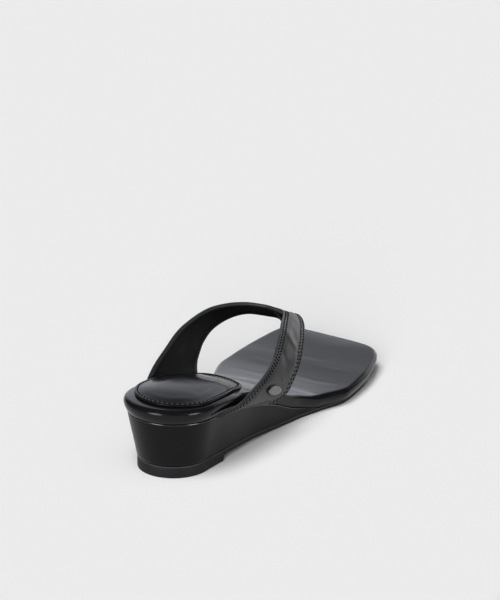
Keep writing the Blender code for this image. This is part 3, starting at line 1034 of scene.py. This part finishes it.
@dataclass
class Footbed(ShoePart):
    """The padded platform in its wrapped skin."""

    step: float = 1.2  # distance between stations
    levels: int = 48  # rings from the shoulder to the middle line
    lower_edge: float = 0.4  # round of its lower edge
    lower_steps: int = 3  # steps of that round
    wall_start: float = 0.1  # share of the wall's height where its swell starts
    wall_levels: int = 12  # rings up the wall to the shoulder
    shoulder_steps: int = 12  # steps of the round shoulder
    shy: float = 0.12  # share of the way in from the shoulder where creases have faded in
    creases: tuple[Crease, ...] = (  # on its upper face, placed by x and y
        Crease(((-30.0, 141.0), (-8.0, 137.0), (14.0, 136.0), (33.0, 139.0)), 5.0, -0.22),
        Crease(((-26.0, 128.0), (0.0, 125.0), (25.0, 127.0)), 5.0, 0.12),
        Crease(((-36.0, 152.0), (-10.0, 149.0), (20.0, 149.0), (38.0, 154.0)), 4.0, 0.10),
        Crease(((-40.0, 166.0), (-15.0, 164.0), (5.0, 166.0)), 4.0, -0.10),
        Crease(((2.0, 174.0), (24.0, 171.0), (41.0, 175.0)), 4.0, -0.09),
        Crease(((-34.0, 187.0), (-20.0, 184.0), (-4.0, 186.0)), 4.0, 0.08),
        Crease(((8.0, 196.0), (22.0, 193.0), (38.0, 196.0)), 4.0, 0.08),
        Crease(((-30.0, 207.0), (-5.0, 204.0), (18.0, 206.0)), 5.0, -0.08),
    )

    def mesh(self) -> bpy.types.Mesh:
        """Makes the platform.

        Returns:
            A mesh with a tucked-in lower edge, a round shoulder and a crowned, lightly creased face.
        """
        last, outline = self.shoe.last, self.shoe.sole
        stations = outline.stations(self.step)
        rings = []
        for inset, rise in reversed(quarter_round(self.lower_edge, self.lower_steps)[1:]):
            spots = outline.ring(stations, FOOTBED_TUCK + inset)
            rings.append(with_height(spots, last.footbed_under(spots[:, 1]) + rise))
        for level in np.linspace(self.wall_start, 1.0, self.wall_levels)[:-1]:
            spots = outline.ring(stations, FOOTBED_TUCK * (1 - level) ** FOOTBED_SWELL)
            wall = last.at(spots[:, 1], "footbed") - FOOTBED_SHOULDER
            rings.append(with_height(spots, last.footbed_under(spots[:, 1]) + wall * level))
        for inset, drop in quarter_round(FOOTBED_SHOULDER, self.shoulder_steps):
            spots = outline.ring(stations, inset)
            rings.append(with_height(spots, last.footbed_top(spots[:, 1]) - drop))
        for share in np.linspace(0.0, INNERMOST, self.levels)[1:]:
            spots = outline.ring(stations, FOOTBED_SHOULDER, float(share))
            lift = plan_lift(spots, self.creases) * smooth_step(share / self.shy)
            crown = last.at(spots[:, 1], "crown") * share * (2 - share)
            rings.append(with_height(spots, last.footbed_top(spots[:, 1]) + crown + lift))
        return closed_loft("footbed_cover", rings, self.shoe)


@dataclass
class HeelPad(ShoePart):
    """The padded sock under the heel, sewn down round its edge. It lies lower than its solid."""

    step: float = 1.0  # distance between stations
    levels: int = 36  # rings from inside the sewn line to the middle line
    bed_levels: int = 12  # rings across its underside
    rim_levels: int = 14  # rings across its rim
    rim: float = 2.0  # width of the flat rim outside the sewn line
    rim_height: float = 1.4  # height of the rim, pulled down by its seam
    rim_edge: float = 0.6  # round of the rim's upper edge
    rim_steps: int = 4  # steps of that round
    rim_dome: float = 0.15  # rise of the rim's middle
    seam_margin: float = 1.2  # how far inside the sewn line the rim's fine rings go on
    level_rim: float = 16.0  # how far in from the sewn line the padding takes on the footbed's crown
    follow: float = 0.6  # share of that crown that it takes on, where it packs flatter
    groove: float = 0.1  # how deep the thread pulls the skin down
    groove_width: float = 0.7  # half the width of that groove, about
    thread_lift: float = 0.1  # how far the thread's middle lies over the groove
    puff: float = 0.6  # rise of the padding just inside the sewn line
    roll: float = 8.0  # how far in from the sewn line it rises so
    dome: float = 1.3  # further rise of the padding to its middle
    creases: tuple[Crease, ...] = (  # soft dents in the padding, placed by x and y
        Crease(((-17.0, 26.0), (-19.0, 42.0), (-16.0, 58.0)), 8.0, -0.20),
        Crease(((15.0, 30.0), (17.0, 46.0), (15.0, 62.0)), 8.0, -0.18),
        Crease(((-8.0, 68.0), (2.0, 66.0), (12.0, 68.0)), 7.0, -0.15),
        Crease(((-10.0, 20.0), (2.0, 17.0), (12.0, 20.0)), 7.0, -0.12),
    )

    def bed(self, spots: Numbers) -> Numbers:
        """Height of the pad's underside."""
        return self.shoe.tread(spots) + GAP

    def plan(self, inset: float, drawn_in: float = 0.0) -> Numbers:
        """Plan of one loop.

        Args:
            inset: distance inside the pad's outline.
            drawn_in: share of the way from there to the middle line.

        Returns:
            One row of x and y for each point.
        """
        full = self.shoe.pad
        inner = full.shrunk(inset)
        stations = np.interp(full.stations(self.step), (full.back, full.front), (inner.back, inner.front))
        return inner.ring(stations, 0.0, drawn_in)

    def top_ring(self, inset: float, drawn_in: float = 0.0) -> Numbers:
        """One loop of the upper face.

        Args:
            inset: distance inside the pad's outline.
            drawn_in: share of the way from there to the middle line.

        Returns:
            The loop's points.
        """
        spots = self.plan(inset, drawn_in)
        share = 1 - (1 - drawn_in) * (1 - inset / PAD_BACK_DEPTH)
        from_seam = inset - self.rim + drawn_in * PAD_BACK_DEPTH
        rise = self.rim_height + self.dome * (1 - (1 - share) ** 2)
        rise += self.rim_dome * max(0.0, 1 - (2 * from_seam / self.rim + 1) ** 2)
        rise -= self.groove * math.exp(-((from_seam / self.groove_width) ** 2))
        rise += self.puff * float(smooth_step(np.array(from_seam / self.roll)))
        lift = plan_lift(spots, self.creases) * float(from_seam > 0)
        # The sewn rim lies level, and the padding follows a part of the footbed's crown
        edge = self.bed(self.plan(0.0))
        settled = self.bed(spots) - (1 - self.follow) * self.shoe.crown(spots)
        base = edge + (settled - edge) * smooth_step(np.array(from_seam / self.level_rim))
        return with_height(spots, base + rise + lift)

    def mesh(self) -> bpy.types.Mesh:
        """Makes the pad.

        Returns:
            A mesh that fits the footbed below, with a rolled rim, a sewn groove and a crowned middle.
        """
        rings = []
        for share in np.linspace(INNERMOST, 0.0, self.bed_levels):
            spots = self.plan(0.0, float(share))
            rings.append(with_height(spots, self.bed(spots)))
        for inset, drop in quarter_round(self.rim_edge, self.rim_steps):
            spots = self.plan(inset)
            rings.append(with_height(spots, self.bed(spots) + self.rim_height - drop))
        padding = self.rim + self.seam_margin
        for inset in np.linspace(self.rim_edge, padding, self.rim_levels)[1:]:
            rings.append(self.top_ring(float(inset)))
        for share in np.linspace(0.0, INNERMOST, self.levels)[1:]:
            rings.append(self.top_ring(padding, float(share)))
        return closed_loft("heel_sock", rings, self.shoe)

    def seam(self) -> StitchRow:
        """Finds the path of the stitches round the pad.

        Returns:
            The row, with its stitches upright.
        """
        ring = self.top_ring(self.rim)
        up = np.tile((0.0, 0.0, 1.0), (len(ring), 1))
        return StitchRow(ring + up * self.thread_lift, up, True)


class StrapRowPlace(Enum):
    """The four rows of stitches along the strap."""

    BACK_FIRST = "back_first"
    BACK_SECOND = "back_second"
    FRONT_FIRST = "front_first"
    FRONT_SECOND = "front_second"


class StudPlace(NamedTuple):
    """Where the stud sits: a point and three directions."""

    seat: Numbers
    long_way: Numbers
    high_way: Numbers
    out: Numbers


@dataclass
class Strap(ShoePart):
    """The V strap: a folded calf strap with a lining, sewn along both edges.

    Places on its outer face go by section, counted from the outer seam, and by share across, from the back
    edge to the front one.
    """

    step: float = 1.1  # distance between sections along the strap
    face_points: int = 72  # points across each face
    edge: float = 1.1  # how far the folded edge rounds over
    fold_angles: tuple[float, ...] = (67.5, 45.0, 22.5, 0.0, -22.5, -45.0, -67.5)  # points round that edge
    lining_rim: int = 3  # faces of calf along each edge of the lining
    back_rim: float = 2.2  # width of the rolled rim along the back edge
    front_rim: float = 1.6  # width of the rolled rim along the front edge
    rim_rise: float = 0.25  # rise of both rims
    band: float = 4.9  # width of the sewn band beside each rim
    band_depth: float = 0.08  # how far its threads pull the leather down
    first_row: float = 0.16  # share of the band's width outside its first row of stitches
    second_row: float = 0.84  # share of it outside the second row
    row_ends: int = 2  # sections that the rows leave free at each foot
    thread_lift: float = 0.05  # how far a thread's middle lies over the leather
    lining_lift: float = 0.02  # how far it lies over the lining
    field_rise: float = 0.4  # rise of the padded field between the bands
    field_slope: float = 5.0  # how far from a band it takes to rise
    stud_depth: float = 0.12  # how far the stud presses the leather in
    stud_fade: float = 0.6  # how far past the stud that fades out, as a share of its half sizes
    turn_span: float = 0.1  # how far off, in sections, the strap's run is taken
    face_span: float = 0.02  # how far off, in sections and shares, the slope of its face is taken
    stud_span: float = 0.05  # how far off, in shares, the stud's level is taken
    track_points: int = 8  # points along a crease for each of its places
    creases: tuple[Crease, ...] = (  # soft folds of the outer face, placed by section and share across
        Crease(((5.4, 0.19), (5.02, 0.315), (4.7, 0.465), (4.48, 0.605), (4.2, 0.75)), 3.6, 0.46),
        Crease(((5.78, 0.295), (5.28, 0.445), (4.84, 0.595), (4.52, 0.75), (4.28, 0.86)), 3.6, -0.28),
        Crease(((6.2, 0.44), (5.74, 0.64), (5.3, 0.78)), 3.8, 0.28),
        Crease(((4.4, 0.23), (3.94, 0.365), (3.4, 0.5)), 3.6, -0.32),
        Crease(((3.8, 0.545), (3.36, 0.54), (2.9, 0.55)), 3.6, -0.28),
        Crease(((4.2, 0.74), (3.62, 0.775), (2.4, 0.88)), 3.2, 0.35),
        Crease(((2.65, 0.56), (2.35, 0.62), (2.05, 0.67)), 2.6, 0.3),
        Crease(((12.2, 0.35), (13.0, 0.45), (13.8, 0.5)), 3.2, 0.5),
        Crease(((14.0, 0.5), (15.0, 0.55), (15.8, 0.6)), 3.5, -0.45),
        Crease(((15.2, 0.3), (16.0, 0.36), (16.8, 0.4)), 3.5, 0.4),
    )
    last_section: int = field(init=False, default=len(STRAP) + 1)
    edges: dict[str, list[SmoothColumn]] = field(init=False)

    def __post_init__(self) -> None:
        """Draws the two edges as free curves through the table's sections."""
        knots = range(self.last_section + 1)
        self.edges = {}
        for name, across in (("back", 0.0), ("front", 1.0)):
            feet = [self.foot(np.array(across), side) for side in (Side.OUTER, Side.INNER)]
            rows = [feet[0], *(np.array(getattr(row, name)) for row in STRAP.values()), feet[1]]
            self.edges[name] = [SmoothColumn(knots, [row[i] for row in rows], True) for i in range(3)]

    def foot(self, across: Numbers, side: Side) -> Numbers:
        """Finds where the strap leaves the seam beside the footbed.

        Args:
            across: shares of the width.
            side: the side of the shoe.

        Returns:
            Points on the outer face.
        """
        back, front = STRAP_FEET[side]
        y = back + (front - back) * across
        sign = np.full_like(y, side.value)
        stand_off = GAP + STRAP_WALL - STRAP_TUCK
        reach = self.shoe.sole.points(y, sign)[..., 0] + side.value * stand_off
        return np.stack((reach, y, self.shoe.last.footbed_under(y) + GAP), axis=-1)

    def edge_line(self, section: Numbers, name: str) -> Numbers:
        """Points along the back or the front edge."""
        return np.stack([column(section) for column in self.edges[name]], axis=-1)

    def beside(self, section: Numbers, span: float) -> list[Numbers]:
        """Sections a span before and a span after the given ones, kept on the strap."""
        return [np.clip(section + way * span, 0.0, self.last_section) for way in (-1, 1)]

    def surface(self, section: Numbers, across: Numbers) -> Numbers:
        """Points on the outer face, before its relief.

        Args:
            section: sections, counted from the outer seam.
            across: shares of the width, from the back edge to the front one.

        Returns:
            Points in the shoemaker's frame.
        """
        section, across = np.broadcast_arrays(np.asarray(section, float), np.asarray(across, float))
        back, front = self.edge_line(section, "back"), self.edge_line(section, "front")
        ends = self.beside(section, self.turn_span)
        behind, ahead = (self.edge_line(end, "back") + self.edge_line(end, "front") for end in ends)
        outward = unit(np.cross(front - back, ahead - behind))
        free = np.clip(np.minimum(section, self.last_section - section), 0.0, 1.0)
        bulge = STRAP_CROWN * smooth_step(free) * 4 * across * (1 - across)
        spot = back + (front - back) * across[..., None] + outward * bulge[..., None]
        for side in Side:
            on_side = (section < self.last_section / 2) == (side is Side.OUTER)
            start = self.foot(np.zeros_like(across), side)
            straight = start + (self.foot(np.ones_like(across), side) - start) * across[..., None]
            follow = (self.foot(across, side) - straight) * (1 - smooth_step(free))[..., None]
            spot = spot + follow * on_side[..., None]
        return spot

    def normal(self, section: Numbers, across: Numbers) -> Numbers:
        """Directions out of the outer face.

        Args:
            section: sections.
            across: shares of the width.

        Returns:
            A direction of length 1 for each.
        """
        span = self.face_span
        low, high = self.beside(np.asarray(section, float), span)
        along = self.surface(high, across) - self.surface(low, across)
        over = self.surface(section, across + span) - self.surface(section, across - span)
        return unit(np.cross(over, along))

    def sections(self) -> Numbers:
        """Sections evenly apart along the strap's middle."""
        fine = np.linspace(0.0, self.last_section, STRAP_POINTS)
        return evenly_apart(fine, self.surface(fine, 0.5), self.step)

    def width(self, section: Numbers) -> Numbers:
        """Width of the strap at sections, in millimetres."""
        return np.linalg.norm(self.edge_line(section, "front") - self.edge_line(section, "back"), axis=-1)

    def sewn_relief(self, section: Numbers, across: Numbers) -> Numbers:
        """Relief of rims, sewn bands and padded field on the outer face.

        Args:
            section: sections.
            across: shares of the width.

        Returns:
            The rise at each place.
        """
        wide = self.width(section)
        relief = np.zeros(np.broadcast(section, across).shape)
        field_share = np.full_like(relief, np.inf)
        for rim, from_edge in ((self.back_rim, across * wide), (self.front_rim, (1 - across) * wide)):
            dome = np.maximum(0.0, 1 - ((from_edge - rim / 2) / (rim / 2)) ** 2)
            trough = np.exp(-(((from_edge - rim - self.band / 2) / (self.band / 2)) ** 4))
            relief += self.rim_rise * dome - self.band_depth * trough
            field_share = np.minimum(field_share, (from_edge - rim - self.band) / self.field_slope)
        return relief + self.field_rise * smooth_step(field_share)

    def stud_place(self) -> StudPlace:
        """Finds where the stud sits.

        Returns:
            Its seat, its long way, its short way and the way out of the leather.
        """
        section, across = np.array(STUD_SECTION), np.array(STUD_ACROSS)
        out = self.normal(section, across)
        ahead, behind = (self.surface(section, across + way * self.stud_span) for way in (1, -1))
        along = ahead - behind
        level = unit(along - out * (along @ out))
        turn = math.radians(STUD_TURN)
        long_way = math.cos(turn) * level + math.sin(turn) * np.cross(out, level)
        return StudPlace(self.surface(section, across), long_way, np.cross(out, long_way), out)

    def relief(self, section: Numbers, across: Numbers) -> Numbers:
        """Full relief of the outer face: sewing, folds and the stud's seat.

        Args:
            section: sections.
            across: shares of the width.

        Returns:
            The rise at each place.
        """
        points = self.surface(section, across)
        flat = points.reshape(-1, 3)
        lift = self.sewn_relief(section, across).ravel()
        for crease in self.creases:
            places = np.array(crease.path)
            fine = np.linspace(0, len(places) - 1, self.track_points * len(places))
            track = [np.interp(fine, np.arange(len(places)), places[:, i]) for i in range(2)]
            lift = lift + crease.lift(flat, self.surface(*track))
        seat, long_way, high_way, _ = self.stud_place()
        away = flat - seat
        reach = np.hypot(away @ long_way / (STUD_LONG / 2), away @ high_way / (STUD_HIGH / 2))
        pressed = 1 - smooth_step((reach - 1.0) / self.stud_fade)
        return (lift * (1 - pressed) - self.stud_depth * pressed).reshape(points.shape[:-1])

    def mesh(self) -> bpy.types.Mesh:
        """Makes the strap.

        Returns:
            A mesh of outer face, lining and folded edges as one closed wall.
        """
        section = self.sections()[:, None]
        tuck = self.edge / self.width(section)
        across = tuck + (1 - 2 * tuck) * np.linspace(0.0, 1.0, self.face_points)[None, :]
        base, out = self.surface(section, across), self.normal(section, across)
        relief = self.relief(section, across)
        outer = base + out * relief[..., None]
        inner = base - out * STRAP_WALL
        folds = []
        for i, beyond in ((0, base[:, 0] - base[:, 1]), (-1, base[:, -1] - base[:, -2])):
            middle = base[:, i] - out[:, i] * STRAP_WALL / 2
            fold = []
            for angle in np.radians(self.fold_angles):
                rise = STRAP_WALL / 2 * math.sin(angle) + relief[:, i, None] * (1 + math.sin(angle)) / 2
                fold.append(middle + out[:, i] * rise + unit(beyond) * self.edge * math.cos(angle))
            folds.append(np.stack(fold, axis=1))
        back, front = folds
        half = back.shape[1] // 2
        loops = np.concatenate((back[:, half::-1], outer, front, inner[:, ::-1], back[:, :half:-1]), axis=1)
        mesh = closed_loft("v_strap", list(loops), self.shoe)
        self.mark_lining(mesh, loops.shape[1], half + 1 + self.face_points + front.shape[1])
        return mesh

    def mark_lining(self, mesh: bpy.types.Mesh, count: int, start: int) -> None:
        """Gives the faces inside the strap to the lining, apart from a rolled rim along each edge.

        Args:
            mesh: the strap's mesh.
            count: points round each loop.
            start: where the inner face starts in a loop.
        """
        place = np.arange(len(mesh.polygons)) % count
        inside = (place >= start + self.lining_rim) & (place < start + self.face_points - self.lining_rim)
        inside[len(mesh.polygons) - count :] = False
        mesh.polygons.foreach_set("material_index", inside.astype(np.int32))

    def row_path(self, place: StrapRowPlace, lining: bool) -> StitchRow:
        """Path of one row of stitches.

        Args:
            place: which row.
            lining: whether it is the row's underside, on the lining.

        Returns:
            The row, open at its ends.
        """
        section = self.sections()[self.row_ends : -self.row_ends]
        is_first = place in (StrapRowPlace.BACK_FIRST, StrapRowPlace.FRONT_FIRST)
        from_back = place in (StrapRowPlace.BACK_FIRST, StrapRowPlace.BACK_SECOND)
        rim = self.back_rim if from_back else self.front_rim
        share = self.first_row if is_first else self.second_row
        from_edge = (rim + share * self.band) / self.width(section)
        across = from_edge if from_back else 1 - from_edge
        out = self.normal(section, across)
        base = self.surface(section, across)
        if lining:
            return StitchRow(base - out * (STRAP_WALL + self.lining_lift), -out, False)
        lift = self.relief(section, across)[..., None] + self.thread_lift
        return StitchRow(base + out * lift, out, False)


@dataclass
class ToePost(ShoePart):
    """The thong between the toes: a rolled strip of leather."""

    strap: Strap  # the strap that it hangs from
    sides: int = 72  # points round it
    levels: int = 40  # rings from foot to head
    seam_depth: float = 0.35  # depth of the butted seam at its back
    seam_width: float = 0.16  # half the width of that seam, in radians round the post
    pleat_depth: float = 0.07  # depth of the fine pleats round it
    pleats: int = 11  # how many go round
    pleat_twist: float = 3.0  # how far they wind from foot to head, in radians of a pleat

    def mesh(self) -> bpy.types.Mesh:
        """Makes the post.

        Returns:
            An oval mesh from the footbed up to the underside of the strap's point.
        """
        section = np.array(float(list(STRAP).index("point") + 1))
        across = np.array(POST_ACROSS)
        out = self.strap.normal(section, across)
        seat = self.strap.surface(section, across) - out * (STRAP_WALL + 2 * GAP)
        angle = np.linspace(0.0, 2 * math.pi, self.sides, endpoint=False)
        from_seam = np.minimum(angle, 2 * math.pi - angle)
        seam = self.seam_depth * np.exp(-((from_seam / self.seam_width) ** 2))
        rings = []
        for level in np.linspace(0.0, 1.0, self.levels):
            flare = 1 + POST_FLARE * (2 * level - 1) ** 4
            wave = np.cos(self.pleats * angle + self.pleat_twist * level)
            fold = self.pleat_depth * wave * math.sin(math.pi * level)
            x = POST_X + (POST_WIDE / 2 * flare - seam + fold) * np.sin(angle)
            y = POST_Y - (POST_LONG / 2 * flare - seam + fold) * np.cos(angle)
            spots = np.stack((x, y), axis=-1)
            low = self.shoe.tread(spots) + GAP
            high = seat[2] - (out[0] * (x - seat[0]) + out[1] * (y - seat[1])) / out[2]
            rings.append(with_height(spots, low + (high - low) * level))
        return closed_loft("toe_thong", rings, self.shoe)


@dataclass
class Stud(ShoePart):
    """The oval metal stud on the outer half of the strap, polished and bare."""

    strap: Strap  # the strap that it sits on
    sides: int = 72  # points round it
    edge: float = 0.5  # round of its rim
    edge_steps: int = 5  # steps of that round
    dome: float = 0.22  # rise of its face from rim to middle
    levels: int = 9  # rings across its face
    innermost: float = 0.94  # how far in the last of them lies

    def mesh(self) -> bpy.types.Mesh:
        """Makes the stud.

        Returns:
            The mesh of an oval plate with a rounded rim and a slightly domed face.
        """
        seat, long_way, high_way, out = self.strap.stud_place()
        angle = np.linspace(0.0, 2 * math.pi, self.sides, endpoint=False)
        rim = quarter_round(self.edge, self.edge_steps)
        profile = [(0.0, 0.0)]
        profile += [(inset, STUD_PROUD - self.dome - drop) for inset, drop in rim]
        for share in np.linspace(0.0, self.innermost, self.levels)[1:]:
            inset = self.edge + (STUD_HIGH / 2 - self.edge) * share
            profile.append((inset, STUD_PROUD - self.dome * (1 - share) ** 2))
        rings = []
        for inset, height in profile:
            far = (STUD_LONG / 2 - inset) * np.sin(angle)[:, None] * long_way
            wide = -(STUD_HIGH / 2 - inset) * np.cos(angle)[:, None] * high_way
            rings.append(seat + far + wide + out * (GAP + height))
        return closed_loft("strap_stud", rings, self.shoe)


# The studio


class LightRole(Enum):
    """What a light is for."""

    FLOOD = "lights the floor and the shoe, too broad to be seen in a finish"
    PANEL = "is seen in glossy finishes as a soft patch"


@dataclass(frozen=True)
class SoftLight:
    """A far soft light, seen as a round glow. Its angles are in degrees."""

    name: str
    azimuth: float  # where it stands, from the camera's side towards the right
    height: float  # its height over the floor
    spread: float  # how wide it is
    power: float
    role: LightRole


@dataclass(frozen=True)
class Studio:
    """Pale floor, soft light and the camera at the photograph's angle.

    The room's walls, like the panels among its lights, show in gloss and light nothing matt.
    """

    azimuth: float = 29.56  # the camera's turn round the shoe, in degrees
    pitch: float = 20.24  # how far it looks down, in degrees
    distance: float = 2.2  # how far it stands from its target, in metres
    lens: float = 194.04  # its focal length, in millimetres
    sensor: float = 36.0  # width of its sensor, in millimetres
    target: tuple[float, float, float] = (-64.2, 240.0, 30.0)  # what it looks at, in the shoemaker's frame
    floor_size: float = 40.0  # in metres
    floor_drop: float = 0.05  # how far the floor lies under the sole, in millimetres
    floor_colour: str = "f4f4f4"
    floor_roughness: float = 0.9
    lights: tuple[SoftLight, ...] = (
        SoftLight("key_left", -38.0, 66.0, 32.0, 1.86, LightRole.FLOOD),
        SoftLight("front_low", -12.0, 20.0, 30.0, 2.4, LightRole.FLOOD),
        SoftLight("front_fill", 0.0, 75.0, 60.0, 0.3, LightRole.FLOOD),
        SoftLight("fill_right", 65.0, 55.0, 50.0, 0.1, LightRole.FLOOD),
        SoftLight("panel_front", -40.0, 14.0, 30.0, 2.2, LightRole.PANEL),
        SoftLight("panel_right", 52.0, 14.0, 26.0, 1.6, LightRole.PANEL),
        SoftLight("strip_right", 143.0, 9.0, 36.0, 0.42, LightRole.PANEL),
        SoftLight("panel_back", 165.0, 36.0, 20.0, 0.03, LightRole.PANEL),
    )
    room_colour: str = "f0f4fd"  # a cool white
    room_dim: float = 0.08  # brightness of the room aside and on the camera's side
    wall_glow: float = 1.54  # brightness of the wall behind the shoe
    wall_aside: tuple[float, float] = (0.22, 0.60)  # sines between which that wall fades out to its sides
    wall_depth: tuple[float, float] = (-0.10, 0.30)  # sines behind the shoe between which it comes in
    room_levels: tuple[tuple[float, float], ...] = (  # share of brightness by the sine of the height
        (0.0, 0.85),
        (0.28, 1.0),
        (0.345, 1.0),
        (0.395, 0.58),
        (0.47, 0.77),
        (0.55, 0.66),
        (0.68, 0.22),
        (0.82, 0.03),
    )

    def from_shoe(self, azimuth: float, height: float) -> Vector:
        """Finds a direction from the shoe.

        Args:
            azimuth: its turn from the camera's side, in degrees.
            height: its height over the floor, in degrees.

        Returns:
            The direction.
        """
        turn = math.radians(self.azimuth + azimuth)
        rise = math.radians(height)
        return Vector((math.sin(turn) * math.cos(rise), -math.cos(turn) * math.cos(rise), math.sin(rise)))

    def build(self, shoe: Shoe) -> None:
        """Sets up the whole studio.

        Args:
            shoe: the shoe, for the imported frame.
        """
        self.floor()
        self.world()
        for light in self.lights:
            self.light(light)
        self.camera(shoe)
        view = bpy.context.scene.view_settings
        view.view_transform = "Standard"
        view.look = "None"

    def floor(self) -> None:
        """Lays a plain floor of matt white paper, which takes soft shadows and mirrors nothing."""
        half, low = self.floor_size / 2, -self.floor_drop * MM
        corners = [(-half, -half, low), (half, -half, low), (half, half, low), (-half, half, low)]
        mesh = bpy.data.meshes.new("studio_floor")
        mesh.from_pydata(corners, [], [(0, 1, 2, 3)])
        paper, _, shader = blank_material("matt_paper")
        look = {
            "Base Color": linear(self.floor_colour),
            "Roughness": self.floor_roughness,
            "Specular IOR Level": 0.0,
        }
        set_inputs(shader, look)
        mesh.materials.append(paper)
        floor = bpy.data.objects.new("studio_floor", mesh)
        bpy.context.scene.collection.objects.link(floor)

    def world(self) -> None:
        """Sets up a cool white wall behind the shoe, a dim ceiling and a dim room on the camera's side."""
        world = bpy.data.worlds.new("studio_room")
        bpy.context.scene.world = world
        world.use_nodes = True
        world.cycles_visibility.diffuse = False
        tree = world.node_tree
        tree.nodes.clear()
        way = add_node(tree, "ShaderNodeTexCoord").outputs["Generated"]
        dot = {"operation": "DOT_PRODUCT"}
        depth, across = (
            add_node(tree, "ShaderNodeVectorMath", {0: way, 1: tuple(axis)}, dot).outputs["Value"]
            for axis in (-self.from_shoe(0.0, 0.0), self.from_shoe(90.0, 0.0))
        )
        unsigned = {"operation": "ABSOLUTE"}
        off_middle = add_node(tree, "ShaderNodeMath", {0: across}, unsigned).outputs["Value"]
        # The wall is bright in its middle, and comes in from a dim room on the camera's side
        eased = {"interpolation_type": "SMOOTHSTEP"}
        aside = dict(zip(RANGE, (off_middle, *self.wall_aside, self.wall_glow, self.room_dim)))
        wall = add_node(tree, "ShaderNodeMapRange", aside, eased).outputs["Result"]
        back = dict(zip(RANGE, (depth, *self.wall_depth, self.room_dim, wall)))
        glow = add_node(tree, "ShaderNodeMapRange", back, eased).outputs["Result"]
        rise = add_node(tree, "ShaderNodeSeparateXYZ", {"Vector": way}).outputs["Z"]
        levels = add_node(tree, "ShaderNodeValToRGB", {"Fac": rise})
        self.set_levels(levels.color_ramp)
        lit = {0: glow, 1: levels.outputs["Color"]}
        strength = add_node(tree, "ShaderNodeMath", lit, {"operation": "MULTIPLY"}).outputs["Value"]
        shown = {"Color": linear(self.room_colour), "Strength": strength}
        room = add_node(tree, "ShaderNodeBackground", shown).outputs["Background"]
        add_node(tree, "ShaderNodeOutputWorld", {"Surface": room})

    def set_levels(self, ramp: bpy.types.ColorRamp) -> None:
        """Sets how bright the room is from the horizon up to the ceiling.

        Args:
            ramp: the ramp, read by the sine of the height.
        """
        ramp.interpolation = "EASE"
        while len(ramp.elements) < len(self.room_levels):
            ramp.elements.new(0.5)
        for element, (sine, glow) in zip(ramp.elements, self.room_levels):
            element.position = sine
            element.color = (glow, glow, glow, 1.0)

    def light(self, light: SoftLight) -> None:
        """Adds one soft light.

        Args:
            light: where it stands and how strong it is.
        """
        data = bpy.data.lights.new(light.name, "SUN")
        data.energy = light.power
        data.angle = math.radians(light.spread)
        lamp = bpy.data.objects.new(light.name, data)
        lamp.visible_glossy = light.role is LightRole.PANEL
        lamp.visible_diffuse = light.role is LightRole.FLOOD
        way = self.from_shoe(light.azimuth, light.height)
        lamp.rotation_euler = way.to_track_quat("Z", "Y").to_euler()
        bpy.context.scene.collection.objects.link(lamp)

    def camera(self, shoe: Shoe) -> None:
        """Adds the camera.

        Args:
            shoe: the shoe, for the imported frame.
        """
        data = bpy.data.cameras.new("photograph_view")
        data.lens = self.lens
        data.sensor_width = self.sensor
        camera = bpy.data.objects.new("photograph_view", data)
        back = self.from_shoe(0.0, self.pitch)
        aim = Vector(shoe.packed(np.array(self.target)).tolist())
        turn = back.to_track_quat("Z", "Y").to_matrix().to_4x4()
        camera.matrix_world = Matrix.Translation(aim + back * self.distance) @ turn
        bpy.context.scene.collection.objects.link(camera)
        bpy.context.scene.camera = camera


def main() -> None:
    """Builds the shoe's pieces in order, then the studio."""
    logging.basicConfig(level=logging.INFO, format="%(message)s")
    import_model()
    shoe = Shoe()
    calf, lining = STRAP_CALF.material(), LINING_SPLIT.material()

    sole = Sole(shoe)
    # The second rubber material paints a highlight along the outsole's upper edge
    rubber = [SOLE_RUBBER.material(), RUBBER_EDGE_PAINTED_HIGHLIGHT.material()]
    place_piece("outsole_rubber", sole.outsole(), rubber, "outsole")
    side_leather = [WEDGE_SIDE.material(), WEDGE_EDGE.material()]
    place_piece("wedge_cover", sole.wedge(), side_leather, "wedge")
    skin = [FOOTBED_SKIN.material()]
    footbed = place_piece("footbed_cover", Footbed(shoe).mesh(), skin, "footbed")

    pad = HeelPad(shoe)
    sock = place_piece("heel_sock", pad.mesh(), [PAD_SKIN.material()], "heel_pad")

    strap = Strap(shoe)
    place_piece("v_strap", strap.mesh(), [calf, lining], "strap")
    place_piece("toe_thong", ToePost(shoe, strap).mesh(), [calf], "toe_post")
    place_piece("strap_stud", Stud(shoe, strap).mesh(), [STUD_NICKEL.material()], "stud")

    stitcher = Stitcher(WAXED_THREAD.material())
    outside = [strap.row_path(place, lining=False) for place in StrapRowPlace]
    inside = [strap.row_path(place, lining=True) for place in StrapRowPlace]
    for name, rows, size, slot in (
        ("strap_stitches", outside, EDGE_STITCH, "strap"),
        ("lining_stitches", inside, LINING_STITCH, "strap"),
        ("pad_stitches", [pad.seam()], PAD_STITCH, "heel_pad"),
    ):
        place_piece(name, stitcher.sew(name, rows, size, shoe), [])

    Studio().build(shoe)


if __name__ == "__main__":
    main()
